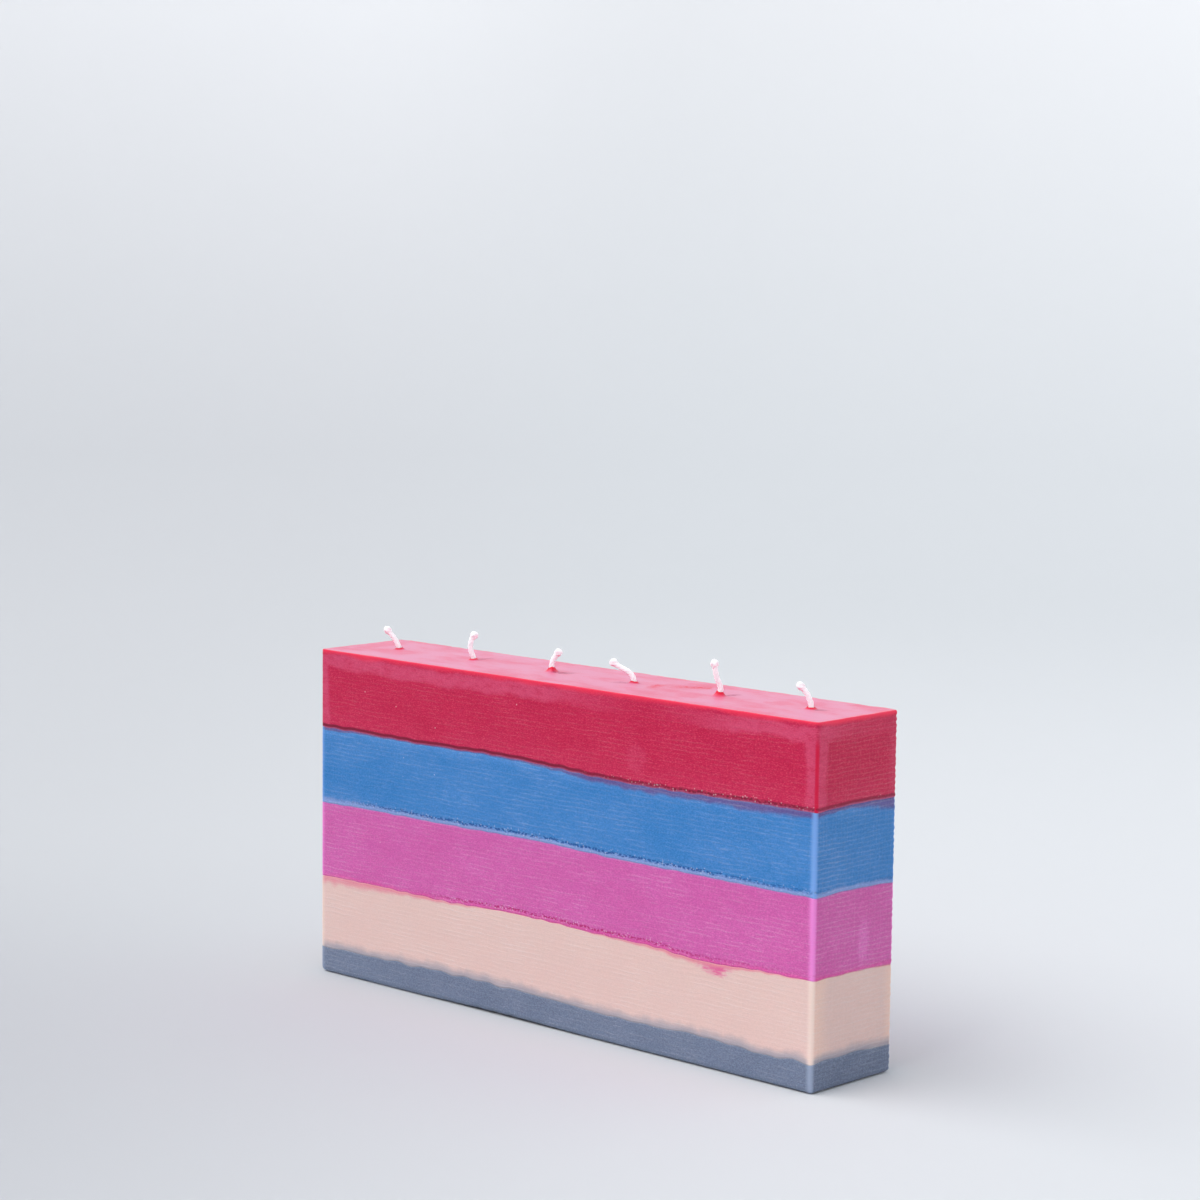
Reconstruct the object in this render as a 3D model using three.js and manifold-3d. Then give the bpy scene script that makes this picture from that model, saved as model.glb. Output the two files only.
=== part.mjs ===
// Block candle: five pours of coloured wax, cast one on another in an upright slab, with a row of braided
// cotton wicks running down through all of them. Millimetres, +Z up, origin at the centre of the base.
import * as THREE from 'three';
import { mergeVertices } from 'three/addons/utils/BufferGeometryUtils.js';
import Module from 'manifold-3d';

// Block
const blockLength = 195.7;
const blockDepth = 34;
const blockHeight = 100;
const cornerRadius = 1.2;
const footRadius = 1.6;
const soleCornerRadius = 0.6;

// Pours, from the base up: each one's thickness as a share of the block's height. Red fills what is left.
const slateShare = 0.084;
const peachShare = 0.222;
const pinkShare = 0.227;
const blueShare = 0.226;

// Seams between the pours: how far each one wanders from its level along the front face, read at even
// stations from the left end to the right, and how much prouder the wax sets along the block's middle
const slateSeam = [-0.5, -0.2, 0.15, 0.5, 0.45, 0.3, -0.25, -0.25, 0.35, -0.4, 0];
const peachSeam = [-0.5, -0.2, -0.2, -0.2, 0.6, 0.6, 0.1, 0.1, -0.9, -0.1, 0.2];
const pinkSeam = [-0.5, -0.1, 0, 0.1, 0.4, 0.5, 0, -0.1, -0.1, -0.2, -0.2];
const blueSeam = [0.2, 0.2, 0.05, 0.3, 0.5, 0, -0.7, -0.8, -0.5, -0.1, 0];
const seamCrown = 0.4;

// Hair between one pour and the next, so that their facets never cut into each other
const seamGap = 0.02;

// Underside: the lower front edge shrank clear of the table over part of its length
const liftHeight = 0.5;
const liftLength = 78;
const liftCentre = -22;
const liftReach = 10;

// Wicks
const wickCount = 6;
const endMargin = 16.6;
const wickDiameter = 1.8;
const wickClearance = 0.25;
const wickFootRecess = 0.6;
const stubHeight = 10.5;
const tipDiameter = 2.5;
const tipLength = 1.6;

// Wax collars drawn up round the wicks
const collarHeight = 1.3;
const collarRim = 0.15;
const collarSkirt = 0.6;
const collarSunk = 1;

// Each wick from left to right: its wax collar as a share of the collar height, the heading of its lean in
// degrees from +X towards +Y, and its free end as points [sideways, up], in shares of the stub height,
// counted from where it leaves the top face
const wickBends = [
  {
    collar: 0.4,
    heading: 32,
    free: [[-0.05, 0.16], [-0.13, 0.3], [-0.25, 0.44], [-0.36, 0.57], [-0.42, 0.67]],
  },
  {
    collar: 0.4,
    heading: 52,
    free: [[-0.06, 0.21], [-0.09, 0.34], [-0.09, 0.47], [-0.06, 0.59], [0.02, 0.72], [0.1, 0.82]],
  },
  {
    collar: 0.9,
    heading: 43,
    free: [[0, 0.2], [0.04, 0.33], [0.13, 0.47], [0.21, 0.57], [0.27, 0.63]],
  },
  {
    collar: 0.5,
    heading: 25,
    free: [[-0.01, 0.12], [-0.07, 0.23], [-0.18, 0.32], [-0.33, 0.39], [-0.5, 0.48], [-0.69, 0.62]],
  },
  {
    collar: 1,
    heading: 60,
    free: [[0.01, 0.17], [-0.02, 0.3], [-0.08, 0.43], [-0.13, 0.59], [-0.16, 0.75], [-0.18, 1]],
  },
  {
    collar: 0.5,
    heading: 38,
    free: [[-0.01, 0.14], [-0.05, 0.25], [-0.1, 0.37], [-0.18, 0.48], [-0.27, 0.58], [-0.39, 0.68]],
  },
];

// Fineness of the facets
const cornerSteps = 4;
const stationsAlong = 26;
const stationsAcross = 6;
const footSteps = 3;
const wickSides = 10;
const boreSides = 12;
const collarSides = 20;
const ringsPerFreePoint = 3;

const slateTop = slateShare * blockHeight;
const peachTop = slateTop + peachShare * blockHeight;
const pinkTop = peachTop + pinkShare * blockHeight;
const blueTop = pinkTop + blueShare * blockHeight;

const boreRadius = wickDiameter / 2 + wickClearance;
const wickPitch = (blockLength - 2 * endMargin) / (wickCount - 1);
const wickX = (n) => -blockLength / 2 + endMargin + n * wickPitch;
const bendOf = (n) => wickBends[n % wickBends.length];
const collarOf = (n) => bendOf(n).collar * collarHeight;

const wasm = await Module();
wasm.setup();

// A closed geometry as a solid that can be joined and cut
function solidOf(geometry) {
  const bare = geometry.clone();
  bare.deleteAttribute('normal');
  bare.deleteAttribute('uv');
  const merged = mergeVertices(bare, 1e-4);
  const vertProperties = new Float32Array(merged.attributes.position.array);
  const triVerts = new Uint32Array(merged.index.array);
  return new wasm.Manifold(new wasm.Mesh({ numProp: 3, vertProperties, triVerts }));
}

function geometryOf(solid) {
  const { vertProperties, triVerts } = solid.getMesh();
  const geometry = new THREE.BufferGeometry();
  geometry.setAttribute('position', new THREE.BufferAttribute(vertProperties, 3));
  geometry.setIndex(new THREE.BufferAttribute(triVerts, 1));
  const faceted = geometry.toNonIndexed();
  faceted.computeVertexNormals();
  return faceted;
}

// A geometry from quads, each four corners counter-clockwise as seen from outside
function geometryOfQuads(quads) {
  const corners = quads.flatMap(([a, b, c, d]) => [a, b, c, a, c, d]);
  return new THREE.BufferGeometry().setFromPoints(corners);
}

// Value of evenly spaced stations at a share from 0 to 1 of their length, on a smooth curve through them
function stationValue(stations, share) {
  const curve = new THREE.SplineCurve(stations.map((value, n) => new THREE.Vector2(n, value)));
  return curve.getPoint(THREE.MathUtils.clamp(share, 0, 1)).y;
}

// Height of a seam over the plan. The back face follows the front's stations from the other end.
function seamHeight(level, stations) {
  return (x, y) => {
    const along = x / blockLength + 0.5;
    const across = y / blockDepth + 0.5;
    const front = stationValue(stations, along);
    const back = stationValue(stations, 1 - along);
    const crown = seamCrown * (1 - (2 * across - 1) ** 2);
    return level + THREE.MathUtils.lerp(front, back, across) + crown;
  };
}

// Height of the underside: flat on the table, but for the stretch of front edge that lifts clear
function undersideHeight(x, y) {
  const along = (x - liftCentre) / (liftLength / 2);
  const inward = (y + blockDepth / 2) / liftReach;
  if (Math.abs(along) >= 1 || inward >= 1) return 0;
  return liftHeight * (1 - along ** 2) ** 2 * (1 - inward) ** 2;
}

// The block's plan as rows of points, one row for each station along X, pulled in from the sides by inset
function planRows(inset) {
  const halfLength = blockLength / 2 - inset;
  const halfDepth = blockDepth / 2 - inset;
  const radius = THREE.MathUtils.lerp(cornerRadius, soleCornerRadius, inset / footRadius);
  const corner = [];
  for (let i = 0; i <= cornerSteps; i++) {
    const turn = (i / cornerSteps) * (Math.PI / 2);
    const x = halfLength - radius * (1 - Math.cos(turn));
    corner.push({ x, half: halfDepth - radius * (1 - Math.sin(turn)) });
  }
  const straight = [];
  for (let i = 1; i < stationsAlong; i++) {
    const x = THREE.MathUtils.lerp(-1, 1, i / stationsAlong) * (halfLength - radius);
    straight.push({ x, half: halfDepth });
  }
  const left = corner.map(({ x, half }) => ({ x: -x, half }));
  const stations = [...left, ...straight, ...corner.reverse()];
  return stations.map(({ x, half }) => {
    const row = [];
    for (let j = 0; j <= stationsAcross; j++) {
      row.push(new THREE.Vector2(x, THREE.MathUtils.lerp(-half, half, j / stationsAcross)));
    }
    return row;
  });
}

// The plan, pulled in by inset, raised to a height that may differ from point to point
function level(inset, height) {
  return planRows(inset).map((row) => row.map(({ x, y }) => new THREE.Vector3(x, y, height(x, y))));
}

// The points round the edge of a level, counter-clockwise from its front left corner
function rimOf(rows) {
  const last = rows.length - 1;
  const front = rows.map((row) => row[0]);
  const right = rows[last].slice(1);
  const back = rows.slice(0, last).reverse().map((row) => row[stationsAcross]);
  const left = rows[0].slice(1, -1).reverse();
  return [...front, ...right, ...back, ...left];
}

// A closed slab of wax through a stack of levels, from the lowest to the highest
function slabThrough(levels) {
  const quads = [];
  const top = levels[levels.length - 1];
  const bottom = levels[0];
  for (let i = 1; i < top.length; i++) {
    for (let j = 1; j <= stationsAcross; j++) {
      quads.push([top[i - 1][j - 1], top[i][j - 1], top[i][j], top[i - 1][j]]);
      quads.push([bottom[i - 1][j - 1], bottom[i - 1][j], bottom[i][j], bottom[i][j - 1]]);
    }
  }
  for (let k = 1; k < levels.length; k++) {
    const lower = rimOf(levels[k - 1]);
    const upper = rimOf(levels[k]);
    lower.forEach((point, n) => {
      const next = (n + 1) % lower.length;
      quads.push([point, lower[next], upper[next], upper[n]]);
    });
  }
  return solidOf(geometryOfQuads(quads));
}

// The levels of the rounded lower edge, from the table up to where the side wall stands straight
function footLevels() {
  const levels = [];
  for (let i = 0; i <= footSteps; i++) {
    const turn = (i / footSteps) * (Math.PI / 2);
    const inset = footRadius * (1 - Math.sin(turn));
    const rise = footRadius * (1 - Math.cos(turn));
    levels.push(level(inset, (x, y) => rise + undersideHeight(x, y)));
  }
  return levels;
}

// The holes that the wicks fill, through the whole block
function wickBores() {
  const bores = [];
  for (let n = 0; n < wickCount; n++) {
    const bore = new THREE.CylinderGeometry(boreRadius, boreRadius, 2 * blockHeight, boreSides);
    bore.rotateX(Math.PI / 2).translate(wickX(n), 0, blockHeight / 2);
    bores.push(solidOf(bore));
  }
  return wasm.Manifold.union(bores);
}

// The small cone of wax that creeps up a wick, its skirt running out flat on the top face
function waxCollar(n) {
  const collar = collarOf(n);
  const rimRadius = boreRadius + collarRim;
  const skirtRadius = rimRadius + collarSkirt;
  const profile = new THREE.Path();
  profile.moveTo(0, -collarSunk);
  profile.lineTo(skirtRadius, -collarSunk);
  profile.lineTo(skirtRadius, 0);
  profile.quadraticCurveTo(rimRadius, 0, rimRadius, collar);
  profile.lineTo(0, collar);
  const cone = new THREE.LatheGeometry(profile.getPoints(4), collarSides);
  cone.rotateX(Math.PI / 2).translate(wickX(n), 0, blockHeight);
  return solidOf(cone);
}

// A closed tube through rings of points, each ring counter-clockwise as seen from the tube's far end
function tubeThrough(rings) {
  const quads = [];
  for (let k = 1; k < rings.length; k++) {
    rings[k].forEach((point, n) => {
      const next = (n + 1) % wickSides;
      quads.push([rings[k - 1][n], rings[k - 1][next], rings[k][next], point]);
    });
  }
  const triangles = quads.flatMap(([a, b, c, d]) => [a, b, c, a, c, d]);
  const foot = rings[0];
  const tip = rings[rings.length - 1];
  for (let n = 2; n < wickSides; n++) {
    triangles.push(foot[0], foot[n], foot[n - 1]);
    triangles.push(tip[0], tip[n - 1], tip[n]);
  }
  return new THREE.BufferGeometry().setFromPoints(triangles);
}

// A wick: straight up its bore, bent as the photographed one is where it is free, its cut end flared
function wickGeometry(n) {
  const { heading, free } = bendOf(n);
  const turn = THREE.MathUtils.degToRad(heading);
  const sideways = new THREE.Vector3(Math.cos(turn), Math.sin(turn), 0);
  const across = new THREE.Vector3(-sideways.y, sideways.x, 0);
  const root = new THREE.Vector3(wickX(n), 0, blockHeight);
  const offRoot = (side, up) => root.clone().addScaledVector(sideways, side).setZ(blockHeight + up);
  const path = new THREE.CatmullRomCurve3([
    root.clone(),
    offRoot(0, collarOf(n)),
    ...free.map(([side, up]) => offRoot(side * stubHeight, up * stubHeight)),
  ]);
  const ring = (centre, tangent, radius) => {
    const outward = new THREE.Vector3().crossVectors(across, tangent).normalize();
    return Array.from({ length: wickSides }, (_, k) => {
      const angle = (k / wickSides) * 2 * Math.PI;
      return centre.clone()
        .addScaledVector(outward, radius * Math.cos(angle))
        .addScaledVector(across, radius * Math.sin(angle));
    });
  };
  const upright = new THREE.Vector3(0, 0, 1);
  const foot = root.clone().setZ(wickFootRecess);
  const rings = [ring(foot, upright, wickDiameter / 2)];
  const length = path.getLength();
  const steps = (free.length + 1) * ringsPerFreePoint;
  for (let i = 0; i <= steps; i++) {
    const share = i / steps;
    const toTip = (1 - share) * length;
    const flare = THREE.MathUtils.smoothstep(tipLength - toTip, 0, tipLength);
    const radius = THREE.MathUtils.lerp(wickDiameter, tipDiameter, flare) / 2;
    rings.push(ring(path.getPointAt(share), path.getTangentAt(share), radius));
  }
  return tubeThrough(rings);
}

function part(name, geometry, color, roughness) {
  const material = new THREE.MeshStandardMaterial({ color, roughness, metalness: 0 });
  const mesh = new THREE.Mesh(geometry, material);
  mesh.name = name;
  return mesh;
}

// Pours from the base up: each one fills from the seam below it to the seam above it
const slateUpper = seamHeight(slateTop, slateSeam);
const peachUpper = seamHeight(peachTop, peachSeam);
const pinkUpper = seamHeight(pinkTop, pinkSeam);
const blueUpper = seamHeight(blueTop, blueSeam);
const redUpper = () => blockHeight;

const waxRoughness = 0.5;
const bores = wickBores();
const slabBetween = (lower, upper) => {
  const underside = (x, y) => lower(x, y) + seamGap;
  return slabThrough([level(0, underside), level(0, upper)]);
};

const slate = slabThrough([...footLevels(), level(0, slateUpper)]).subtract(bores);
const peach = slabBetween(slateUpper, peachUpper).subtract(bores);
const pink = slabBetween(peachUpper, pinkUpper).subtract(bores);
const blue = slabBetween(pinkUpper, blueUpper).subtract(bores);
const collars = Array.from({ length: wickCount }, (_, n) => waxCollar(n));
const red = slabBetween(blueUpper, redUpper)
  .add(wasm.Manifold.union(collars))
  .subtract(bores);

const candle = new THREE.Group();
candle.add(
  part('slate_layer', geometryOf(slate), 0x6f7890, waxRoughness),
  part('peach_layer', geometryOf(peach), 0xe6c4b9, waxRoughness),
  part('pink_layer', geometryOf(pink), 0xd05fa9, waxRoughness),
  part('blue_layer', geometryOf(blue), 0x4482c8, waxRoughness),
  part('red_layer', geometryOf(red), 0xcb2a55, waxRoughness),
);
for (let n = 0; n < wickCount; n++) {
  candle.add(part(`wick_${n + 1}`, wickGeometry(n), 0xf3eeee, 0.9));
}

export default candle;
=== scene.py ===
# %% [markdown]
# # A block candle of five wax pours
# The real object is an upright slab of wax. Five pours of different colours were cast one on another in
# a long narrow mould, and six braided cotton wicks run down through all of them. This lesson dresses
# the construction model of that candle: each pour and each wick is rebuilt as a fine mesh in the place
# of its solid, and gets a finish made of shader nodes. First the solids are loaded, because every size
# below is read from them.

import bpy
import numpy as np
from mathutils import Matrix, Vector
from mathutils.geometry import delaunay_2d_cdt


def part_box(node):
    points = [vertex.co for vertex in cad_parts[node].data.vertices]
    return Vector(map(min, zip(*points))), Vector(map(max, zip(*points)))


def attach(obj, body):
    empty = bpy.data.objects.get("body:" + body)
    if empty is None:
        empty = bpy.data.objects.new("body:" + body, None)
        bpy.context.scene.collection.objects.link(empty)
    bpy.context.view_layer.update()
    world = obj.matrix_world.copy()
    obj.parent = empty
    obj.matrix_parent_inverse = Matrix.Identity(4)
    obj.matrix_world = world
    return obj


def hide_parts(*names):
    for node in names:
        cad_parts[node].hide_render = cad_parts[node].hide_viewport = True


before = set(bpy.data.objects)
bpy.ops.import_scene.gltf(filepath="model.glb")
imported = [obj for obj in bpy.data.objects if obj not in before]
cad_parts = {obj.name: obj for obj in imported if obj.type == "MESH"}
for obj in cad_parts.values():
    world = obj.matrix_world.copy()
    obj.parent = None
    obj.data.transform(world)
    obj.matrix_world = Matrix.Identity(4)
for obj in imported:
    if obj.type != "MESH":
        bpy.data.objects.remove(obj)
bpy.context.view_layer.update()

MM = 0.001
_, pour_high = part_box("blue_layer")
half_length = pour_high.x / MM
half_depth = pour_high.y / MM
print("solids:", sorted(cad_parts))
print("half length and half depth of the block, mm:", round(half_length, 2), round(half_depth, 2))

# %% [markdown]
# ## The camera
# The photograph was taken with a long lens from a little above the candle, looking at one long face and
# one end. Place, heading, pitch and roll come from fitting a pinhole camera to the block's edges. The
# rotation is built from three turns, as a photographer would set a tripod head: pan, tilt, level.

# %% Place the camera
CAMERA_PLACE = Vector((0.60432, -0.6371, 0.22496))
CAMERA_PAN = 43.36
CAMERA_TILT_DOWN = 6.667
CAMERA_ROLL = 0.659
FOCAL_SHARE = 3092 / 1200
SENSOR_WIDTH = 36
NEAREST_SEEN = 0.01


def add_camera():
    data = bpy.data.cameras.new("camera")
    data.sensor_width = SENSOR_WIDTH
    data.lens = SENSOR_WIDTH * FOCAL_SHARE
    data.clip_start = NEAREST_SEEN
    camera = bpy.data.objects.new("camera", data)
    pan = Matrix.Rotation(np.radians(CAMERA_PAN), 4, "Z")
    tilt = Matrix.Rotation(np.radians(90 - CAMERA_TILT_DOWN), 4, "X")
    level = Matrix.Rotation(np.radians(CAMERA_ROLL), 4, "Z")
    camera.matrix_world = Matrix.Translation(CAMERA_PLACE) @ pan @ tilt @ level
    bpy.context.scene.collection.objects.link(camera)
    bpy.context.scene.camera = camera
    return camera


camera = add_camera()
print("lens, mm:", round(camera.data.lens, 1), "distance, m:", round(CAMERA_PLACE.length, 3))

# %% [markdown]
# ## The table, the lamps and the room
# The candle stands on pale seamless paper. A flat plane with a horizon would show a line behind it, so
# the paper is a wide shallow dish: flat in the middle and curving up all round, which looks the same
# from every side. A far, wide and soft lamp stands at the front left, and the pale room does the rest, so
# the end face lies in soft shade and the shadow on the paper stays short and weak. In the photograph
# the paper is darker at the left and lighter up the wall, so this uneven light is painted into the paper's
# colour, which changes slowly over the dish.

# %% Helpers for node materials
def new_material(name):
    """An empty node material, and its tree."""
    material = bpy.data.materials.new(name)
    material.use_nodes = True
    material.node_tree.nodes.clear()
    return material, material.node_tree


def add_node(tree, kind, settings=None, **inputs):
    """A node with its settings and inputs. An input is a number, a colour or another node's socket."""
    node = tree.nodes.new(kind)
    for name, value in (settings or {}).items():
        setattr(node, name, value)
    for name, value in inputs.items():
        key = int(name[1:]) if name[0] == "_" else name.replace("_", " ")
        if isinstance(value, bpy.types.NodeSocket):
            tree.links.new(value, node.inputs[key])
        else:
            node.inputs[key].default_value = value
    return node


def math(tree, operation, a, b=0.0):
    return add_node(tree, "ShaderNodeMath", {"operation": operation}, _0=a, _1=b).outputs[0]


def mix_colour(tree, share, a, b):
    node = add_node(tree, "ShaderNodeMix", {"data_type": "RGBA"}, _0=share, _6=a, _7=b)
    return node.outputs[2]


def ramp(tree, value, start, end, low=0.0, high=1.0, kind="SMOOTHSTEP"):
    """Goes from low to high while the value goes from start to end, and keeps to them outside."""
    settings = {"interpolation_type": kind}
    inputs = {"Value": value, "From_Min": start, "From_Max": end, "To_Min": low, "To_Max": high}
    return add_node(tree, "ShaderNodeMapRange", settings, **inputs).outputs["Result"]


def show(tree, shader, kind="ShaderNodeOutputMaterial"):
    """Links a shader to the output of its tree."""
    output = add_node(tree, kind)
    tree.links.new(shader.outputs[0], output.inputs["Surface"])


print("the helpers add, join and show nodes in:", bpy.types.ShaderNodeTree.__name__)

# %% The paper dish
PAPER_FLAT_RADIUS = 1.2
PAPER_RISE_RADIUS = 2.0
PAPER_TURN_STEP = 6
PAPER_SIDES = 96
# These colours are painted light: the paper is darker at the left and lighter to the right and up the wall,
# as the light falls unevenly on it.
PAPER_NEAR = (0.53, 0.545, 0.575, 1)
PAPER_LEFT = (0.625, 0.64, 0.665, 1)
PAPER_RIGHT = (0.71, 0.73, 0.755, 1)
PAPER_FAR = (0.625, 0.65, 0.675, 1)
PAPER_WALL_LEFT = (0.90, 0.91, 0.93, 1)
PAPER_WALL = (0.79, 0.80, 0.82, 1)
PAPER_START = (-0.1, 0.3)
PAPER_FADE = (-0.28, 0.10)
PAPER_DEPTH = (0.1, 1.1)
PAPER_RISE = (0.05, 0.6)


def add_paper():
    """A dish turned from a profile: flat, then a quarter round up to a low rim."""
    turns = np.radians(np.arange(0, 90 + PAPER_TURN_STEP, PAPER_TURN_STEP))
    radii = np.concatenate([[0], PAPER_FLAT_RADIUS + PAPER_RISE_RADIUS * np.sin(turns)])
    heights = np.concatenate([[0], PAPER_RISE_RADIUS * (1 - np.cos(turns))])
    angles = np.arange(PAPER_SIDES) * 2 * np.pi / PAPER_SIDES
    points = [(r * np.cos(a), r * np.sin(a), z) for r, z in zip(radii, heights) for a in angles]
    faces = []
    for ring in range(len(radii) - 1):
        for n in range(PAPER_SIDES):
            m = (n + 1) % PAPER_SIDES
            inner, outer = ring * PAPER_SIDES, (ring + 1) * PAPER_SIDES
            faces.append((inner + n, outer + n, outer + m, inner + m))
    mesh = bpy.data.meshes.new("paper")
    mesh.from_pydata(points, [], faces)
    mesh.shade_smooth()
    paper = bpy.data.objects.new("paper", mesh)
    bpy.context.scene.collection.objects.link(paper)
    mesh.materials.append(paper_finish())
    return paper


def paper_finish():
    """Plain paper with painted light: lighter towards the camera's right and up the wall."""
    material, tree = new_material("paper")
    place = tree.nodes.new("ShaderNodeTexCoord").outputs["Object"]
    turned = add_node(tree, "ShaderNodeVectorRotate", {"rotation_type": "Z_AXIS"}, Vector=place,
                      Angle=-np.radians(CAMERA_PAN))
    axes = add_node(tree, "ShaderNodeSeparateXYZ", None, Vector=turned.outputs[0]).outputs
    colour = mix_colour(tree, ramp(tree, axes["Y"], *PAPER_DEPTH), PAPER_RIGHT, PAPER_FAR)
    left = mix_colour(tree, ramp(tree, axes["Y"], *PAPER_START), PAPER_NEAR, PAPER_LEFT)
    colour = mix_colour(tree, ramp(tree, axes["X"], *PAPER_FADE), left, colour)
    wall = mix_colour(tree, ramp(tree, axes["X"], *PAPER_FADE), PAPER_WALL_LEFT, PAPER_WALL)
    colour = mix_colour(tree, ramp(tree, axes["Z"], *PAPER_RISE, kind="LINEAR"), colour, wall)
    show(tree, add_node(tree, "ShaderNodeBsdfDiffuse", None, Color=colour))
    return material


paper = add_paper()
print("paper faces:", len(paper.data.polygons))

# %% The lamps and the room
KEY_TOWARDS = Vector((-0.62, -0.8, 0.62))
KEY_SPREAD = 85
KEY_STRENGTH = 3.5
KEY_COLOUR = (1.0, 0.98, 0.96)
ROOM_COLOUR = (0.93, 0.96, 1.0, 1)
ROOM_STRENGTH = 0.69


def add_key_lamp():
    data = bpy.data.lights.new("key_lamp", "SUN")
    data.angle = np.radians(KEY_SPREAD)
    data.energy = KEY_STRENGTH
    data.color = KEY_COLOUR
    lamp = bpy.data.objects.new("key_lamp", data)
    lamp.rotation_euler = KEY_TOWARDS.to_track_quat("Z", "Y").to_euler()
    bpy.context.scene.collection.objects.link(lamp)


def light_room():
    world = bpy.data.worlds.new("room")
    world.use_nodes = True
    tree = world.node_tree
    tree.nodes.clear()
    background = add_node(tree, "ShaderNodeBackground", Color=ROOM_COLOUR, Strength=ROOM_STRENGTH)
    show(tree, background, "ShaderNodeOutputWorld")
    bpy.context.scene.world = world


add_key_lamp()
light_room()
bpy.context.scene.view_settings.view_transform = "Standard"
print("key lamp, height above the horizon in degrees:",
      round(np.degrees(np.arcsin(KEY_TOWARDS.normalized().z)), 1))

# %% [markdown]
# ## The seams between the pours
# Each pour set before the next one came, and its surface was never quite level, so the seams wander up
# and down by as much as a millimetre. The construction model holds each seam as a few heights at even
# stations along the front, read from the photograph, and the back follows them the other way round. The
# same stations are used here, with a finer wander on top that is too small for the solids.

# %% Smooth chance and seam heights
SEAM_CROWN = 0.4
FINE_WANDER = [0.3, 0.15, 0.12, 0.15]
FINE_PERIOD = 12
FINE_SLANT = 0.7
SEAMS = [
    (8.4, [-0.5, -0.2, 0.15, 0.5, 0.45, 0.3, -0.25, -0.25, 0.35, -0.4, 0]),
    (30.6, [-0.5, -0.2, -0.2, -0.2, 0.6, 0.6, 0.1, 0.1, -0.9, -0.1, 0.2]),
    (53.3, [-0.5, -0.1, 0, 0.1, 0.4, 0.5, 0, -0.1, -0.1, -0.2, -0.2]),
    (75.9, [0.2, 0.2, 0.05, 0.3, 0.5, 0, -0.7, -0.8, -0.5, -0.1, 0]),
]
BLOCK_HEIGHT = 100
WAVES = 6
WAVE_SHARES = (0.5, 2.1)


def wander(t, period, seed):
    """A smooth irregular wave between about -1 and 1, the same for the same seed."""
    chance = np.random.default_rng(seed)
    total = np.zeros_like(t, dtype=float)
    for share, phase in zip(chance.uniform(*WAVE_SHARES, WAVES), chance.uniform(0, 2 * np.pi, WAVES)):
        total += np.sin(2 * np.pi * share * t / period + phase)
    return total / np.sqrt(2 * WAVES)


def along_stations(stations, share):
    """The value at a share from 0 to 1 of evenly spaced stations, on a smooth curve through them."""
    values = np.array(stations, dtype=float)
    place = np.clip(share, 0, 1) * (len(values) - 1)
    n = np.minimum(place.astype(int), len(values) - 2)
    t = place - n
    slopes = np.gradient(values)
    slopes[0], slopes[-1] = (values[1] - values[0]) / 2, (values[-1] - values[-2]) / 2
    step = values[n + 1] - values[n]
    cubic = slopes[n] + slopes[n + 1] - 2 * step
    square = 3 * step - 2 * slopes[n] - slopes[n + 1]
    return values[n] + t * (slopes[n] + t * (square + t * cubic))


def seam_height(number, x, y):
    """Height of a seam: its level, the stations of front and back, a crown between, a finer wander."""
    level, stations = SEAMS[number]
    along = x / (2 * half_length) + 0.5
    across = y / (2 * half_depth) + 0.5
    front = along_stations(stations, along)
    back = along_stations(stations, 1 - along)
    crown = SEAM_CROWN * (1 - (2 * across - 1) ** 2)
    fine = FINE_WANDER[number] * wander(x + FINE_SLANT * y, FINE_PERIOD, seed=20 + number)
    return level + front * (1 - across) + back * across + crown + fine


print("seams at the middle, mm:", [round(float(seam_height(n, np.array([0.0]), np.array([0.0]))[0]), 2)
                                   for n in range(len(SEAMS))])

# %% [markdown]
# ## The outline of the block
# Seen from above, the block is a long rectangle with softly rounded corners. Every level of every pour
# is this same loop of points, so a pour's wall is a stack of loops, and neighbouring pours meet point
# to point. Each point also knows which way is out and how far along the loop it lies, which later puts
# marks at the right place.

# %% The loop round the block
CORNER_RADIUS = 1.2
FOOT_RADIUS = 1.6
SOLE_CORNER_RADIUS = 0.6
LOOP_STEP = 0.6
CORNER_STEPS = 7
CORNER_SIGNS = np.array([(1, -1), (1, 1), (-1, 1), (-1, -1)])


def loop_round_block(inset=0.0):
    """Points and outward directions, from the front's left end through its right end, pulled in by inset."""
    radius = np.interp(inset, [0, FOOT_RADIUS], [CORNER_RADIUS, SOLE_CORNER_RADIUS])
    half_sides = np.array([half_length, half_depth])
    centres = CORNER_SIGNS * (half_sides - inset - radius)
    points, outward = [], []
    for n, centre in enumerate(centres):
        heading = np.radians(90 * n - 90)
        straight_out = np.array([np.cos(heading), np.sin(heading)])
        start = centres[n - 1] + radius * straight_out
        end = centre + radius * straight_out
        count = round(2 * half_sides[n % 2] / LOOP_STEP)
        shares = np.arange(count)[:, None] / count
        points.append(start + shares * (end - start))
        outward.append(np.tile(straight_out, (count, 1)))
        turns = heading + np.arange(CORNER_STEPS) / CORNER_STEPS * np.pi / 2
        arc = np.stack([np.cos(turns), np.sin(turns)], axis=1)
        points.append(centre + radius * arc)
        outward.append(arc)
    return np.concatenate(points), np.concatenate(outward)


def round_loop(stations):
    """A value for every point of the loop, on a smooth closed curve through even stations round it."""
    closed = [stations[-1], *stations, *stations[:2]]
    place = 1 + loop_place / loop_length * len(stations)
    return along_stations(closed, place / (len(closed) - 1))


def loop_gap(a, b):
    """The shorter way along the loop between two places on it."""
    gap = np.abs(a - b) % loop_length
    return np.minimum(gap, loop_length - gap)


loop, loop_out = loop_round_block()
loop_steps = np.linalg.norm(np.roll(loop, -1, axis=0) - loop, axis=1)
loop_place = np.cumsum(loop_steps) - loop_steps
loop_length = loop_steps.sum()
corner_places = [loop_place[np.argmax(loop @ sign)] for sign in CORNER_SIGNS]
corner_gap = np.min([loop_gap(loop_place, place) for place in corner_places], axis=0)
end_share = loop_out[:, 0] ** 2
print("points in a loop:", len(loop), "and its length, mm:", round(loop_length, 1))

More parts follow.
